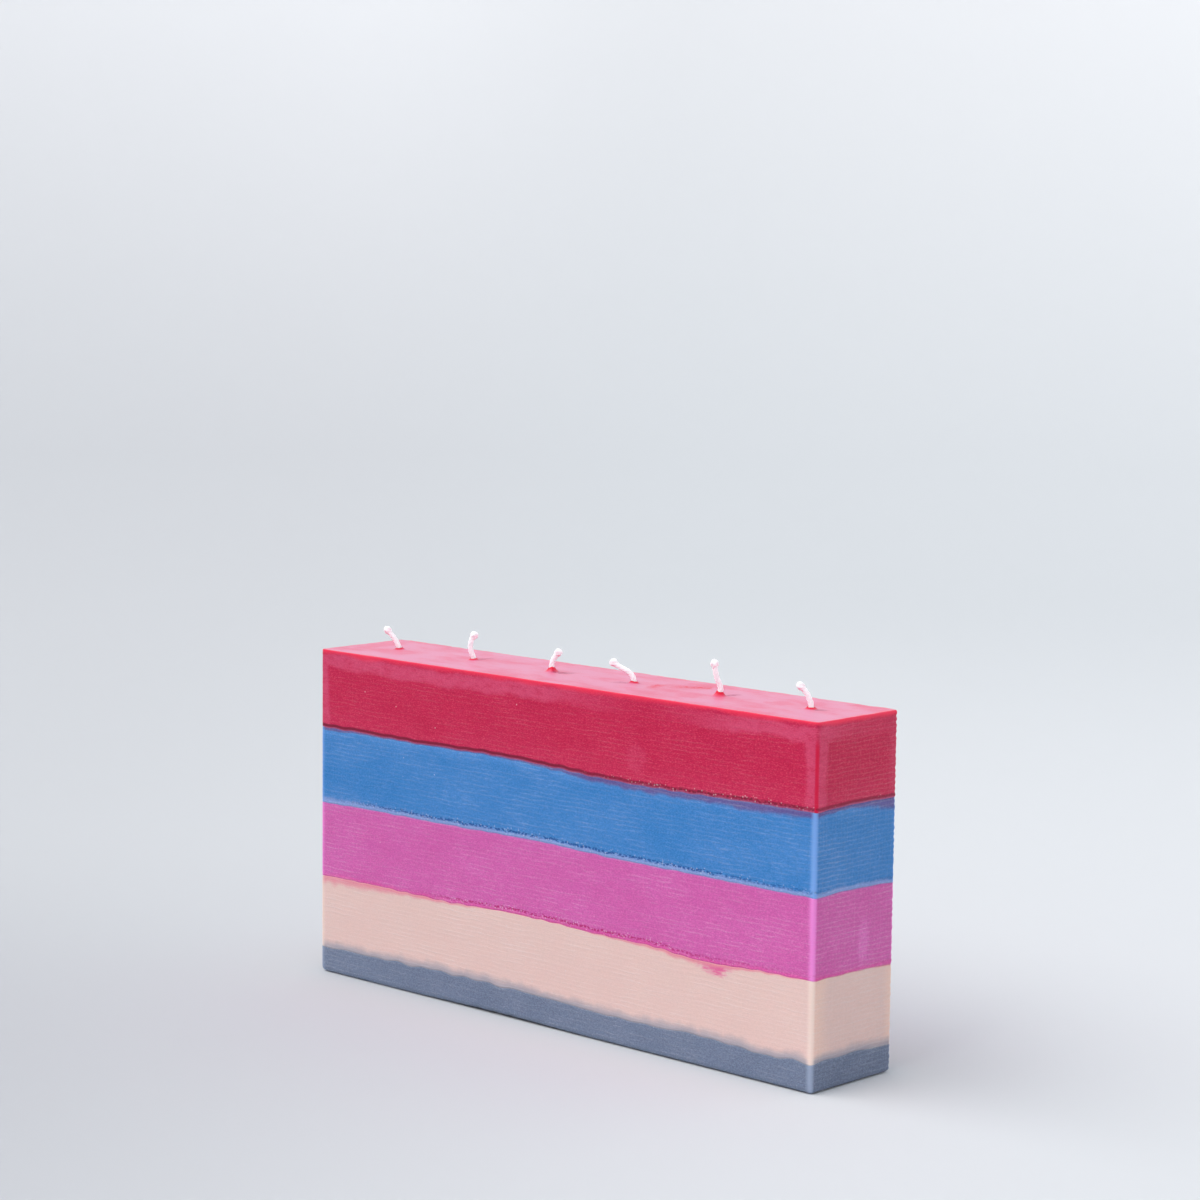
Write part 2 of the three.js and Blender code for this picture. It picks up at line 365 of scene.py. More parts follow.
# %% [markdown]
# ## Relief of the walls
# The mould left its marks in the wax. There are level ridges a little over a millimetre apart, scallops
# down the upright corners, a shallow groove where two pours meet, and a line of small pits where the
# hot wax trapped air on the cooler one. All of it is real geometry, as a depth below the nominal wall,
# because it shows along the outline of the block. Marks finer than that are left to the materials.

# %% Ridges, scallops and grooves
RIDGE_PITCH = 1.3
RIDGE_DEPTH = 0.016
RIDGE_WAVER_UP = 0.35
RIDGE_WAVER_ALONG = 0.3
RIDGE_SWELL = 0.75
SCALLOP_PITCH = 3.2
SCALLOP_WIDTH = 1.7
SCALLOP_DEPTHS = [0.02, 0.22, 0.08, 0.03]
GROOVE_DEPTHS = [0.01, 0.05, 0.05, 0.06]
GROOVE_WIDTH = 0.4
GROOVE_STRENGTH = 0.6


def uneven_share(mean, t, period, seed):
    """A share that swells and fades round a mean, and never leaves the range from 0 to 1."""
    return np.clip(mean + (1 - mean) * wander(t, period, seed), 0, 1)


def ridge_depth(place, height):
    """Level ridges that waver in height and swell in depth."""
    phase = height / RIDGE_PITCH
    phase += RIDGE_WAVER_UP * wander(height, period=11, seed=31)
    phase += RIDGE_WAVER_ALONG * wander(place, period=45, seed=32)
    swell = uneven_share(RIDGE_SWELL, place + 3 * height, period=30, seed=33)
    return RIDGE_DEPTH * swell * (1 + np.sin(2 * np.pi * phase))


def scallop_depth(place, height):
    """Hollows down the upright corners, deepest on the right back one."""
    total = np.zeros_like(height)
    for n, (corner, depth) in enumerate(zip(corner_places, SCALLOP_DEPTHS)):
        wave = wander(height, SCALLOP_PITCH, seed=40 + n)
        near = np.exp(-(loop_gap(place, corner) / SCALLOP_WIDTH) ** 2)
        total += depth * near * np.clip(1 - wave, 0, 2) / 2
    return total


def groove_depth(gap, place, seam):
    """A shallow groove along a seam, which comes and goes."""
    strength = uneven_share(GROOVE_STRENGTH, place, period=25, seed=61 + seam)
    return GROOVE_DEPTHS[seam] * strength * np.exp(-(gap / GROOVE_WIDTH) ** 2)


print("corners along the loop, mm:", [round(float(c), 1) for c in corner_places])

# %% Pits above a seam
PIT_DEPTH = 0.1
PIT_SIZE = 0.35
PIT_COUNT = 300
PIT_SCATTER = 0.16
PIT_WEAKEST = 0.4
PIT_ROW_REACH = 1.2
PIT_REACH = 3 * PIT_SIZE
PIT_ROWS = [0, 0, 1.2, 1.4, 0.8]
PIT_STATIONS = {
    2: [0, 0, 0.1, 0.7, 1, 1, 1, 0.9, 0.7, 0.4, 0.2, 0.1, 0.4, 0.8, 1, 1, 0.6, 0.2, 0, 0, 0.2, 0.5, 0.3, 0],
    3: [0, 0.6, 1, 1, 1, 1, 1, 1, 1, 0.8, 0.5, 0.2, 0.6, 1, 0.8, 0.6, 0.3, 0.5, 1, 1, 0.8, 0.6, 0.3, 0],
    4: [0, 0, 0, 0, 0, 0, 0.2, 0.8, 1, 1, 0.7, 0.3, 0.8, 1, 1, 0.6, 0.3, 0, 0, 0, 0.3, 0.6, 0.3, 0],
}


def pit_places(pour):
    """Chance places along the loop for a row of pits, where the stations let them be."""
    chance = np.random.default_rng(70 + pour)
    places = chance.uniform(0, loop_length, PIT_COUNT)
    presence = np.interp(places, loop_place, round_loop(PIT_STATIONS[pour]))
    kept = presence > chance.uniform(0, 1, PIT_COUNT)
    offsets = chance.normal(0, PIT_SCATTER, PIT_COUNT)
    strengths = chance.uniform(PIT_WEAKEST, 1, PIT_COUNT)
    return places[kept], offsets[kept], strengths[kept]


def pit_depth(above_row, place, pour):
    """Round hollows at a row's pits, each only where the wall is close to it."""
    total = np.zeros_like(place)
    near_row = np.abs(above_row) < PIT_ROW_REACH
    for where, offset, strength in zip(*pit_places(pour)):
        close = near_row & (loop_gap(place, where) < PIT_REACH)
        span = loop_gap(place[close], where) ** 2 + (above_row[close] - offset) ** 2
        pit = PIT_DEPTH * strength * np.exp(-span / PIT_SIZE ** 2)
        total[close] = np.maximum(total[close], pit)
    return total


print("pits above the seam, by pour:", {pour: len(pit_places(pour)[0]) for pour in PIT_STATIONS})

# %% The whole relief of a wall
def wall_depth(height, above, below, pour):
    """Depth of the wall's relief on one loop, which lies above one seam and below the next."""
    depth = ridge_depth(loop_place, height) + scallop_depth(loop_place, height)
    if pour > 0:
        depth += groove_depth(above, loop_place, pour - 1)
    if PIT_ROWS[pour]:
        depth += pit_depth(above - PIT_ROWS[pour], loop_place, pour)
    if pour < len(SEAMS):
        depth += groove_depth(below, loop_place, pour)
    return depth


middle = np.full(len(loop), BLOCK_HEIGHT / 2)
deepest = wall_depth(middle, middle, middle, 0).max()
print("deepest relief halfway up a wall, mm:", round(float(deepest), 2))

# %% [markdown]
# ## The top face and the underside
# The block was cast upside down. Its top lay against the mould's floor: flat, with faint dips, sharp
# edges that chipped a little along the back, and a small cone of wax round each wick. Its underside was
# the open face while the wax set, so its edge is rounded and lifts off the table for part of its length.
# Both are height maps, so that one mesh routine can make them. A wick's bends are shares of the stub's
# height, sideways under a heading and upwards, and before them stands how large its cone is.

# %% The wicks' places and bends
WICK_HALF_WIDTH = 0.95
END_MARGIN = 16.6
WICK_COUNT = 6
COLLAR_HEIGHT = 1.3
STUB_HEIGHT = 10.5
WICK_BENDS = [
    (0.4, 32, [(-0.05, 0.16), (-0.13, 0.3), (-0.25, 0.44), (-0.36, 0.57), (-0.42, 0.67)]),
    (0.4, 52, [(-0.06, 0.21), (-0.09, 0.34), (-0.09, 0.47), (-0.06, 0.59), (0.02, 0.72), (0.1, 0.82)]),
    (0.9, 43, [(0, 0.2), (0.04, 0.33), (0.13, 0.47), (0.21, 0.57), (0.27, 0.63)]),
    (0.5, 25, [(-0.01, 0.12), (-0.07, 0.23), (-0.18, 0.32), (-0.33, 0.39), (-0.5, 0.48), (-0.69, 0.62)]),
    (1, 60, [(0.01, 0.17), (-0.02, 0.3), (-0.08, 0.43), (-0.13, 0.59), (-0.16, 0.75), (-0.18, 1)]),
    (0.5, 38, [(-0.01, 0.14), (-0.05, 0.25), (-0.1, 0.37), (-0.18, 0.48), (-0.27, 0.58), (-0.39, 0.68)]),
]
wick_x = np.linspace(END_MARGIN - half_length, half_length - END_MARGIN, WICK_COUNT)

print("wicks at x, mm:", np.round(wick_x, 2))

# %% The wax drawn up round the wicks
CONE_WIDTH = 1.5
CONE_STEEPNESS = 2.2
CONE_ONE_SIDED = 0.2
CONE_LOBES = 0.1
WET_WIDTH = 1.1
WET_LEAST = 0.7
WET_BY_CONE = 0.5
WET_FULLNESS = 1.3


def cone_height(x, y):
    """Height of the wax drawn up round the wicks: steep at the wick, running out to nothing."""
    total = np.zeros_like(x)
    for n, (collar, _, _) in enumerate(WICK_BENDS):
        away = np.hypot(x - wick_x[n], y)
        bearing = np.arctan2(y, x - wick_x[n])
        uneven = 1 + CONE_ONE_SIDED * np.sin(bearing + n) + CONE_LOBES * np.sin(3 * bearing + 2 * n)
        left = np.clip(1 - (away - WICK_HALF_WIDTH) / (CONE_WIDTH * uneven), 0, 1)
        total += collar * COLLAR_HEIGHT * uneven * left ** CONE_STEEPNESS
    return total


def wet_share(x, y):
    """How wet and red the wax is: fully at the foot of a wick, running out a millimetre from it."""
    total = np.zeros_like(x)
    for n, (collar, _, _) in enumerate(WICK_BENDS):
        away = np.hypot(x - wick_x[n], y) - WICK_HALF_WIDTH
        width = WET_WIDTH * (WET_LEAST + WET_BY_CONE * collar)
        total += np.clip(WET_FULLNESS * (1 - away / width), 0, 1)
    return np.clip(total, 0, 1)


print("height of the cones, mm:", [round(collar * COLLAR_HEIGHT, 2) for collar, _, _ in WICK_BENDS])

# %% Furrows and chips in the top face
FURROWS = [(34, 5.5, 13, 1.2), (37, 1.5, 16, 0.9), (45, -3.5, 9, 1.1), (70, 5, 10, 1.0)]
FURROW_DEPTH = 0.07
FURROW_BOW = 1.2
FURROW_BOW_LENGTH = 9
CHIPS = 16
CHIP_SIZES = (0.6, 2.2)
CHIP_DEPTHS = (0.08, 0.32)
EVERYWHERE_CHIPPED = 0.03
TOP_SWELL = 0.03


def furrow_share(x, y):
    """Faint strokes in the top face between the fourth and sixth wicks, as shares of their depth."""
    total = np.zeros_like(x)
    for centre, across, reach, width in FURROWS:
        bowed = y - across - FURROW_BOW * np.sin((x - centre) / FURROW_BOW_LENGTH)
        total += np.exp(-((x - centre) / reach) ** 4) * np.exp(-(bowed / width) ** 2)
    return total


def chip_depth(x, y):
    """Crumbs missing from the top's back edge."""
    chance = np.random.default_rng(52)
    total = EVERYWHERE_CHIPPED * (1 + wander(x, period=6, seed=53))
    for _ in range(CHIPS):
        where = chance.uniform(-half_length, half_length)
        size = chance.uniform(*CHIP_SIZES)
        total += chance.uniform(*CHIP_DEPTHS) * np.exp(-((x - where) / size) ** 4)
    rim = np.clip(y - half_depth + 1, 0, 1)
    return total * rim ** 2


def top_height(x, y):
    """The flat top, less its faint swell, its furrows and its chips, with the cones on it."""
    swell = TOP_SWELL * (1 + wander(x + 2 * y, period=26, seed=51))
    furrow = FURROW_DEPTH * furrow_share(x, y)
    return BLOCK_HEIGHT - swell - furrow - chip_depth(x, y) + cone_height(x, y)


between_wicks = np.array([(wick_x[0] + wick_x[1]) / 2])
print("height of the top face between two wicks, mm:",
      round(float(top_height(between_wicks, np.array([0.0]))[0]), 2))

# %% The underside, and both faces of a pour
LIFT_HEIGHT = 0.5
LIFT_LENGTH = 78
LIFT_CENTRE = -22
LIFT_REACH = 10
LIFT_SWELL = 0.15


def underside_height(x, y):
    """The front edge lifts off the table round the lift's centre, and the wax behind it less and less."""
    along = np.clip(np.abs(x - LIFT_CENTRE) / (LIFT_LENGTH / 2), 0, 1)
    inward = np.clip((y + half_depth) / LIFT_REACH, 0, 1)
    uneven = 1 - LIFT_SWELL + LIFT_SWELL * wander(x, period=8, seed=54)
    return LIFT_HEIGHT * uneven * (1 - along ** 2) ** 2 * (1 - inward) ** 2


def height_between(pour):
    """The height maps of a pour's lower and upper face."""
    def lower(x, y):
        return underside_height(x, y) if pour == 0 else seam_height(pour - 1, x, y)

    def upper(x, y):
        return top_height(x, y) if pour == len(SEAMS) else seam_height(pour, x, y)

    return lower, upper


lift_centre = underside_height(np.array([float(LIFT_CENTRE)]), np.array([-half_depth]))
print("lift of the front edge at its highest, mm:", round(float(lift_centre[0]), 2))

# %% [markdown]
# ## Building one pour
# A pour is a closed body: a wall of stacked loops, a cover above, a cover below, and six holes that the
# wicks fill. A cover has an odd outline with holes in it, which a grid can't follow, so a constrained
# Delaunay triangulation joins the outline, the holes and a scatter of inner points. Both covers keep
# the loop's points, so the body closes without a gap. Every point also carries marks for the finish: its
# place along the loop, its distance from the seams and from the nearest corner, whether it lies on an
# end or on the top, how wet the wax is, how far the dyes creep, and how much of the pits and of the
# bloom shows there.

# %% The rows of a wall
BRIM_RADIUS = 0.3
ROW_STEP = 0.36
FOOT_ROWS = 6
BRIM_ROWS = 4


def wall_rows(low, high, foot, brim):
    """Heights and insets of the loops up a wall, with a rounded foot or brim where there is one."""
    rows = []
    for turn in np.radians(np.linspace(0, 90, FOOT_ROWS, endpoint=False)) if foot else []:
        rows.append((low + foot * (1 - np.cos(turn)), foot * (1 - np.sin(turn))))
    start, end = low + foot, high - brim
    count = round(float(np.mean(end - start)) / ROW_STEP)
    for share in np.linspace(0, 1, count + 1):
        rows.append((start + share * (end - start), 0.0))
    for turn in np.radians(np.linspace(90, 0, BRIM_ROWS, endpoint=False))[::-1] if brim else []:
        rows.append((end + brim * np.sin(turn), brim * (1 - np.cos(turn))))
    return rows


print("rows up a wall between two level seams:", len(wall_rows(SEAMS[0][0], SEAMS[1][0], 0, 0)))

# %% The covers of a pour
OVAL_STEPS = 24
CONE_RINGS = [0.07, 0.16, 0.28, 0.45, 0.7, 1.05, 1.5]
RIM_RINGS = [0.35, 0.75, 1.3]
TOP_SPACING = 1.3
HIDDEN_SPACING = 7
CONE_CLEARANCE = 0.3
RIM_CLEARANCE = 0.6
INSIDE_THE_EDGES = 1
SAME_POINT = 1e-6


def ring_round_wick(n, extra):
    """A ring of points round wick n, at an extra distance from it."""
    angles = np.arange(OVAL_STEPS) * 2 * np.pi / OVAL_STEPS
    radius = WICK_HALF_WIDTH + extra
    return np.stack([wick_x[n] + radius * np.cos(angles), radius * np.sin(angles)], axis=1)


def inner_points(spacing, margin):
    """A staggered scatter of points that keeps clear of the outline and of the wicks."""
    xs = np.arange(spacing - half_length, half_length, spacing)
    ys = np.arange(spacing - half_depth, half_depth, spacing)
    x, y = np.meshgrid(xs, ys)
    x = x + (np.arange(len(ys))[:, None] % 2) * spacing / 2
    keep = (np.abs(x) < half_length - margin) & (np.abs(y) < half_depth - margin)
    for centre in wick_x:
        keep &= np.hypot(x - centre, y) > WICK_HALF_WIDTH + CONE_RINGS[-1] + CONE_CLEARANCE
    return np.stack([x[keep], y[keep]], axis=1)


def cover(outline, fine):
    """Plan points and triangles of a cover. The outline comes first, then the holes, then the rest."""
    holes = [ring_round_wick(n, 0) for n in range(WICK_COUNT)]
    rest = []
    if fine:
        rest += [ring_round_wick(n, extra) for n in range(WICK_COUNT) for extra in CONE_RINGS]
        rest += [outline - loop_out * inset for inset in RIM_RINGS]
        rest.append(inner_points(TOP_SPACING, RIM_RINGS[-1] + BRIM_RADIUS + RIM_CLEARANCE))
    else:
        rest.append(inner_points(HIDDEN_SPACING, HIDDEN_SPACING / 2))
    plan = np.concatenate([outline, *holes, *rest])
    edges = []
    owner = np.full(len(plan), -1)
    start = 0
    for number, ring in enumerate([outline, *holes]):
        count = len(ring)
        edges += [(start + n, start + (n + 1) % count) for n in range(count)]
        owner[start:start + count] = number
        start += count
    result = delaunay_2d_cdt([Vector(p) for p in plan], edges, [], INSIDE_THE_EDGES, SAME_POINT)
    source = [originals[0] for originals in result[3]]
    triangles = np.array([[source[v] for v in face] for face in result[2]])
    owners = owner[triangles]
    in_hole = (owners[:, 0] > 0) & (owners == owners[:, :1]).all(axis=1)
    return plan, triangles[~in_hole]


print("triangles in a hidden cover:", len(cover(loop, fine=False)[1]))

# %% The marks and their stations round the block
MARKS = ["place", "above", "below", "edge", "end", "top", "wet", "reach_up", "reach_down", "dots", "bloom"]
FAR = 100
EVEN = [1]
REACH_UP = {
    # On the slate, how high the painted shadow along the foot reaches.
    0: [0.3, 0.3, 0.7, 0.8, 0.8, 0.7, 0.5, 0.3, 0.3, 0.4, 0.3, 0.5],
    1: [3.3],
    2: [1.4],
    3: [2.5, 2.2, 1.9, 1.8, 1.8, 1.8, 1.7, 1.7, 1.6, 1.5, 1.4, 1.6, 1.8, 2, 2],
    4: [0.8],
}
REACH_DOWN = {
    0: [0.5],
    1: [3.6, 2.6, 1.7, 0.9, 0.3, 0.3, 0.4, 1.0, 1.7, 1.0, 0.3, 0.4,
        0.5, 1.2, 1.8, 0.9, 0.4, 0.4, 1, 1.6, 0.8, 0.5, 1, 3],
    2: [0.5],
    3: [1.2, 0.6, 0.4, 0.4, 0.5, 0.9, 1.9, 2.4, 2.3, 2.9, 2.2, 1.3,
        4, 2.6, 1.8, 0.8, 0.4, 0.5, 1.2, 2.2, 1.6, 0.8, 0.6, 1],
}
BLOOM_STATIONS = [0.9, 1, 1, 1, 1, 0.9, 0.35, 0, 0.45, 1, 0.9, 0.25,
                  0.25, 0.6, 0.2, 0.5, 1, 1, 0.8, 0.4, 0.8, 1, 0.9, 0.8]

print("marks:", MARKS)

# %% The wall of a pour
def wall_of_pour(pour, lower, upper):
    """Points and marks of a pour's wall, loop by loop."""
    low, high = lower(*loop.T), upper(*loop.T)
    foot = FOOT_RADIUS if pour == 0 else 0
    brim = BRIM_RADIUS if pour == len(SEAMS) else 0
    rows = wall_rows(low, high, foot, brim)
    reach_up, reach_down = round_loop(REACH_UP.get(pour, EVEN)), round_loop(REACH_DOWN.get(pour, EVEN))
    dots = np.clip(round_loop(PIT_STATIONS.get(pour, [0])), 0, 1)
    bloom = np.clip(round_loop(BLOOM_STATIONS), 0, 1)
    nothing = np.zeros(len(loop))
    points, marks = [], []
    for height, inset in rows:
        above, below = height - low, high - height
        relief = wall_depth(height, above, below, pour) * (1 - inset / FOOT_RADIUS)
        plan = loop_round_block(inset)[0] - loop_out * relief[:, None]
        points.append(np.column_stack([plan, height]))
        top = np.full(len(loop), inset / BRIM_RADIUS if brim else 0.0)
        marks.append(np.column_stack([loop_place, above, below, corner_gap, end_share, top, nothing,
                                      reach_up, reach_down, dots, bloom]))
    return points, marks


def strips(starts, count):
    """Four-cornered faces between closed rings of points, given where each ring starts."""
    n = np.arange(count)
    m = (n + 1) % count
    return [np.column_stack([a + n, a + m, b + m, b + n]) for a, b in zip(starts, starts[1:])]


top_pour = len(SEAMS)
print("rows in the top pour's wall:", len(wall_of_pour(top_pour, *height_between(top_pour))[0]))

# %% The body of a pour
def body_of_pour(pour):
    """Points, faces, which faces are smooth, and the marks of one closed pour."""
    lower, upper = height_between(pour)
    walls, marks = wall_of_pour(pour, lower, upper)
    count, rows = len(loop), len(walls)
    faces = np.concatenate(strips(np.arange(rows) * count, count)).tolist()
    smooth = [True] * len(faces)
    size = rows * count
    mouths = []
    for under, row, height_map in ((True, 0, lower), (False, rows - 1, upper)):
        shown = pour == (0 if under else len(SEAMS))
        plan, triangles = cover(walls[row][:, :2], fine=shown and not under)
        inner = plan[count:]
        walls.append(np.column_stack([inner, height_map(*inner.T)]))
        rim = np.minimum(half_length - np.abs(inner[:, 0]), half_depth - np.abs(inner[:, 1]))
        nothing = np.zeros(len(inner))
        shared = [nothing + FAR, rim, nothing + FAR, nothing, nothing + (not under), wet_share(*inner.T)]
        marks.append(np.column_stack([nothing, *shared, nothing + 1, nothing + 1, nothing, nothing]))
        index = np.concatenate([row * count + np.arange(count), size + np.arange(len(inner))])
        faces += index[triangles[:, ::-1] if under else triangles].tolist()
        smooth += [shown] * len(triangles)
        mouths.append(size)
        size += len(inner)
    for n in range(WICK_COUNT):
        bore = strips([mouths[1] + n * OVAL_STEPS, mouths[0] + n * OVAL_STEPS], OVAL_STEPS)[0].tolist()
        faces += bore
        smooth += [False] * len(bore)
    return np.concatenate(walls), faces, smooth, np.concatenate(marks)


def add_piece(name, points, faces, smooth, marks, mark_names):
    """A mesh object from points in millimetres, with its marks kept as attributes of the points."""
    mesh = bpy.data.meshes.new(name)
    mesh.from_pydata((points * MM).tolist(), [], faces)
    mesh.polygons.foreach_set("use_smooth", smooth)
    for n, mark in enumerate(mark_names):
        attribute = mesh.attributes.new(mark, "FLOAT", "POINT")
        attribute.data.foreach_set("value", np.ascontiguousarray(marks[:, n], dtype=np.float32))
    mesh.update()
    piece = bpy.data.objects.new(name, mesh)
    bpy.context.scene.collection.objects.link(piece)
    return piece


# %% Make the five pours
POURS = ["slate", "peach", "pink", "blue", "red"]
pours = {}
for number, colour in enumerate(POURS):
    piece = add_piece(colour + "_wax", *body_of_pour(number), MARKS)
    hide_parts(colour + "_layer")
    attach(piece, "root")
    pours[colour] = piece
    print(colour, "pour, faces:", len(piece.data.polygons))

# %% [markdown]
# ## Braided wicks
# A candle wick is a braid of cotton strands, and wax from the pour has soaked into its lower end. A
# single bent tube would look like wire, so each strand is swept on its own path: half of the strands
# wind one way, half the other way, and they pass over and under each other where they meet. The wick's
# middle line runs straight up through the pours and then bends as each stub does in the photograph. At
# the cut end the strands open into a small bulb, and a tuft of short fibres covers where they stop.

# %% The middle line of a wick
WICK_FOOT = 0.6
BRAID_DEPTH = 1.5
STUB_STEP = 0.13
BURIED_STEP = 0.4


def smooth_path(controls, step):
    """Points at even steps on a smooth curve through the given ones."""
    controls = np.array(controls, dtype=float)
    chords = np.linalg.norm(np.diff(controls, axis=0), axis=1)
    at = np.concatenate([[0], np.cumsum(chords)])
    slopes = np.gradient(controls, at, axis=0)
    wanted = np.linspace(0, at[-1], round(at[-1] / step) + 1)
    n = np.clip(np.searchsorted(at, wanted, side="right") - 1, 0, len(at) - 2)
    width = (at[n + 1] - at[n])[:, None]
    t = (wanted - at[n])[:, None] / width
    start, end = controls[n], controls[n + 1]
    leave, arrive = slopes[n] * width, slopes[n + 1] * width
    square = 3 * (end - start) - 2 * leave - arrive
    cubic = leave + arrive - 2 * (end - start)
    return start + t * (leave + t * (square + t * cubic))


def middle_line(n):
    """The buried and the free stretch of wick n's middle line."""
    collar, heading, free = WICK_BENDS[n]
    sideways = np.array([np.cos(np.radians(heading)), np.sin(np.radians(heading)), 0])
    root = np.array([wick_x[n], 0, BLOCK_HEIGHT])
    up = np.array([0, 0, 1])
    foot = root + (WICK_FOOT - BLOCK_HEIGHT) * up
    meeting = root - BRAID_DEPTH * up
    rim = root + collar * COLLAR_HEIGHT * up
    bends = [root + STUB_HEIGHT * (along * sideways + height * up) for along, height in free]
    buried = smooth_path([foot, meeting], BURIED_STEP)
    return buried, smooth_path([meeting, root, rim, *bends], STUB_STEP)


def carried_frame(path, side):
    """Directions along and across a path, with the first side carried along without twisting."""
    ahead = np.gradient(path, axis=0)
    ahead /= np.linalg.norm(ahead, axis=1)[:, None]
    sides = []
    for direction in ahead:
        side = side - direction * (side @ direction)
        side = side / np.linalg.norm(side)
        sides.append(side)
    sides = np.array(sides)
    return ahead, sides, np.cross(ahead, sides)


print("length of each stub with its hidden root, mm:",
      [round(STUB_STEP * (len(middle_line(n)[1]) - 1), 1) for n in range(WICK_COUNT)])

# %% Strands of the braid
FAMILY = 4
BRAID_TURN = 5.0
BRAID_RADIUS = 0.5
BRAID_WEAVE = 0.07
CORE_SHARE = 0.8
STRAND_WIDE = 0.4
STRAND_THIN = 0.24
STRAND_LEAST = 0.3
YARNS = 3
YARN_RELIEF = 0.06
YARN_TURN = 1.1
FIBRE_RADIUS = 0.07
BULB_LENGTH = 2.4
BULB_GROWTH = 0.6
BULB_PEAK = 0.6
STUB_SIDES = 12
BURIED_SIDES = 6


def sweep(path, wide_way, thin_way, wide, thin, sides, lobes=0, travelled=None):
    """A closed tube of oval rings along a path, with twisted lobes where it is given them."""
    angles = np.arange(sides) * 2 * np.pi / sides
    swell = np.ones((len(path), sides))
    if lobes:
        twist = 2 * np.pi * travelled[:, None] / YARN_TURN
        swell += YARN_RELIEF * np.cos(lobes * angles + twist)
    across = swell * np.cos(angles) * np.reshape(wide, (-1, 1))
    out = swell * np.sin(angles) * np.reshape(thin, (-1, 1))
    rings = path[:, None] + across[:, :, None] * wide_way[:, None] + out[:, :, None] * thin_way[:, None]
    faces = np.concatenate(strips(np.arange(len(path)) * sides, sides)).tolist()
    last = (len(path) - 1) * sides
    faces.append(list(range(sides))[::-1])
    faces.append(list(range(last, last + sides)))
    return rings.reshape(-1, 3), faces


def bulb(share):
    """How far the strands spread at a share from 0 to 1 of the bulb: they open out, then close round."""
    opening = np.sin(np.pi / 2 * np.clip(share / BULB_PEAK, 0, 1)) ** 2
    closing = np.clip((share - BULB_PEAK) / (1 - BULB_PEAK), 0, 1)
    return (1 + BULB_GROWTH * opening) * np.sqrt(1 - closing ** 2)


def strand(path, frame_of_path, travelled, way, start, sides, spread):
    """One strand. way is 1 or -1, and start is the angle at which it begins."""
    _, side, up = frame_of_path
    turned = way * 2 * np.pi * travelled / BRAID_TURN
    radius = (BRAID_RADIUS + way * BRAID_WEAVE * np.cos(FAMILY * turned)) * spread
    angle = (turned + start)[:, None]
    outward = np.cos(angle) * side + np.sin(angle) * up
    centre = path + radius[:, None] * outward
    along = np.gradient(centre, axis=0)
    wide_way = np.cross(along / np.linalg.norm(along, axis=1)[:, None], outward)
    fullness = STRAND_LEAST + (1 - STRAND_LEAST) * spread
    lobes = YARNS if sides == STUB_SIDES else 0
    wide, thin = STRAND_WIDE * fullness, STRAND_THIN * fullness
    return sweep(centre, -wide_way, outward, wide, thin, sides, lobes, travelled)


def braid(path, travelled, sides, spread):
    """All strands of a stretch of wick, and the core that they cover."""
    frame_of_path = carried_frame(path, np.array([1.0, 0, 0]))
    tubes = []
    for way in (1, -1):
        for n in range(FAMILY):
            tubes.append(strand(path, frame_of_path, travelled, way, 2 * np.pi * n / FAMILY, sides, spread))
    core = BRAID_RADIUS * CORE_SHARE * spread + FIBRE_RADIUS
    tubes.append(sweep(path, frame_of_path[1], frame_of_path[2], core, core, sides))
    return tubes, frame_of_path


print("strands in a wick:", 2 * FAMILY, "of", YARNS, "yarns each")

# %% Frayed ends and stray hairs
FIBRES = 150
FIBRE_LENGTHS = (0.85, 1)
FIBRE_CURL = 0.08
FURTHEST_BACK = -0.3
TUFT_RADIUS = 1.05
TUFT_DEPTH = 0.75
TAPER = 0.6
ANY_SIDE = np.array([0.31, 0.52, 0.79])
HAIRS = 12
HAIRLESS_SHARE = 4
HAIRLESS_END = 4
HAIR_RADIUS = 0.02
HAIR_LENGTHS = (0.3, 0.8)
HAIR_CURL = 0.4
HAIR_LEAN = 0.6


def fibre(start, heading, bend, length, radius, sides=5, steps=5):
    """A thin tapered fibre that leaves along heading and curls towards bend."""
    t = np.linspace(0, 1, steps + 1)[:, None]
    path = start + length * (t * heading + t ** 2 * bend)
    _, side, up = carried_frame(path, ANY_SIDE)
    taper = radius * (1 - TAPER * t[:, 0])
    return sweep(path, side, up, taper, taper, sides)


def frayed_end(path, frame_of_path, chance):
    """Fibres that stand out round the cut end of a wick like a small soft ball."""
    ahead, side, up = (way[-1] for way in frame_of_path)
    centre = path[-1] - TUFT_DEPTH * ahead
    tubes = []
    for _ in range(FIBRES):
        forward = chance.uniform(FURTHEST_BACK, 1)
        angle = chance.uniform(0, 2 * np.pi)
        outward = np.cos(angle) * side + np.sin(angle) * up
        heading = forward * ahead + np.sqrt(1 - forward ** 2) * outward
        length = TUFT_RADIUS * chance.uniform(*FIBRE_LENGTHS)
        tubes.append(fibre(centre, heading, chance.normal(0, FIBRE_CURL, 3), length, FIBRE_RADIUS))
    return tubes


def stray_hairs(path, frame_of_path, chance):
    """Single hairs that lift off the braid, some towards the tip and some towards the root."""
    ahead, side, up = frame_of_path
    tubes = []
    for _ in range(HAIRS):
        n = chance.integers(len(path) // HAIRLESS_SHARE, len(path) - HAIRLESS_END)
        angle = chance.uniform(0, 2 * np.pi)
        outward = np.cos(angle) * side[n] + np.sin(angle) * up[n]
        start = path[n] + BRAID_RADIUS * outward
        heading = HAIR_LEAN * outward + chance.choice([-1, 1]) * ahead[n]
        bend = chance.normal(0, HAIR_CURL, 3)
        tubes.append(fibre(start, heading, bend, chance.uniform(*HAIR_LENGTHS), HAIR_RADIUS, sides=4))
    return tubes


print("fibres at the end of a wick:", FIBRES, "and stray hairs on it:", HAIRS)

# %% The body of a wick
END_TRIM = 0.35
WICK_MARKS = ["free", "fluff"]


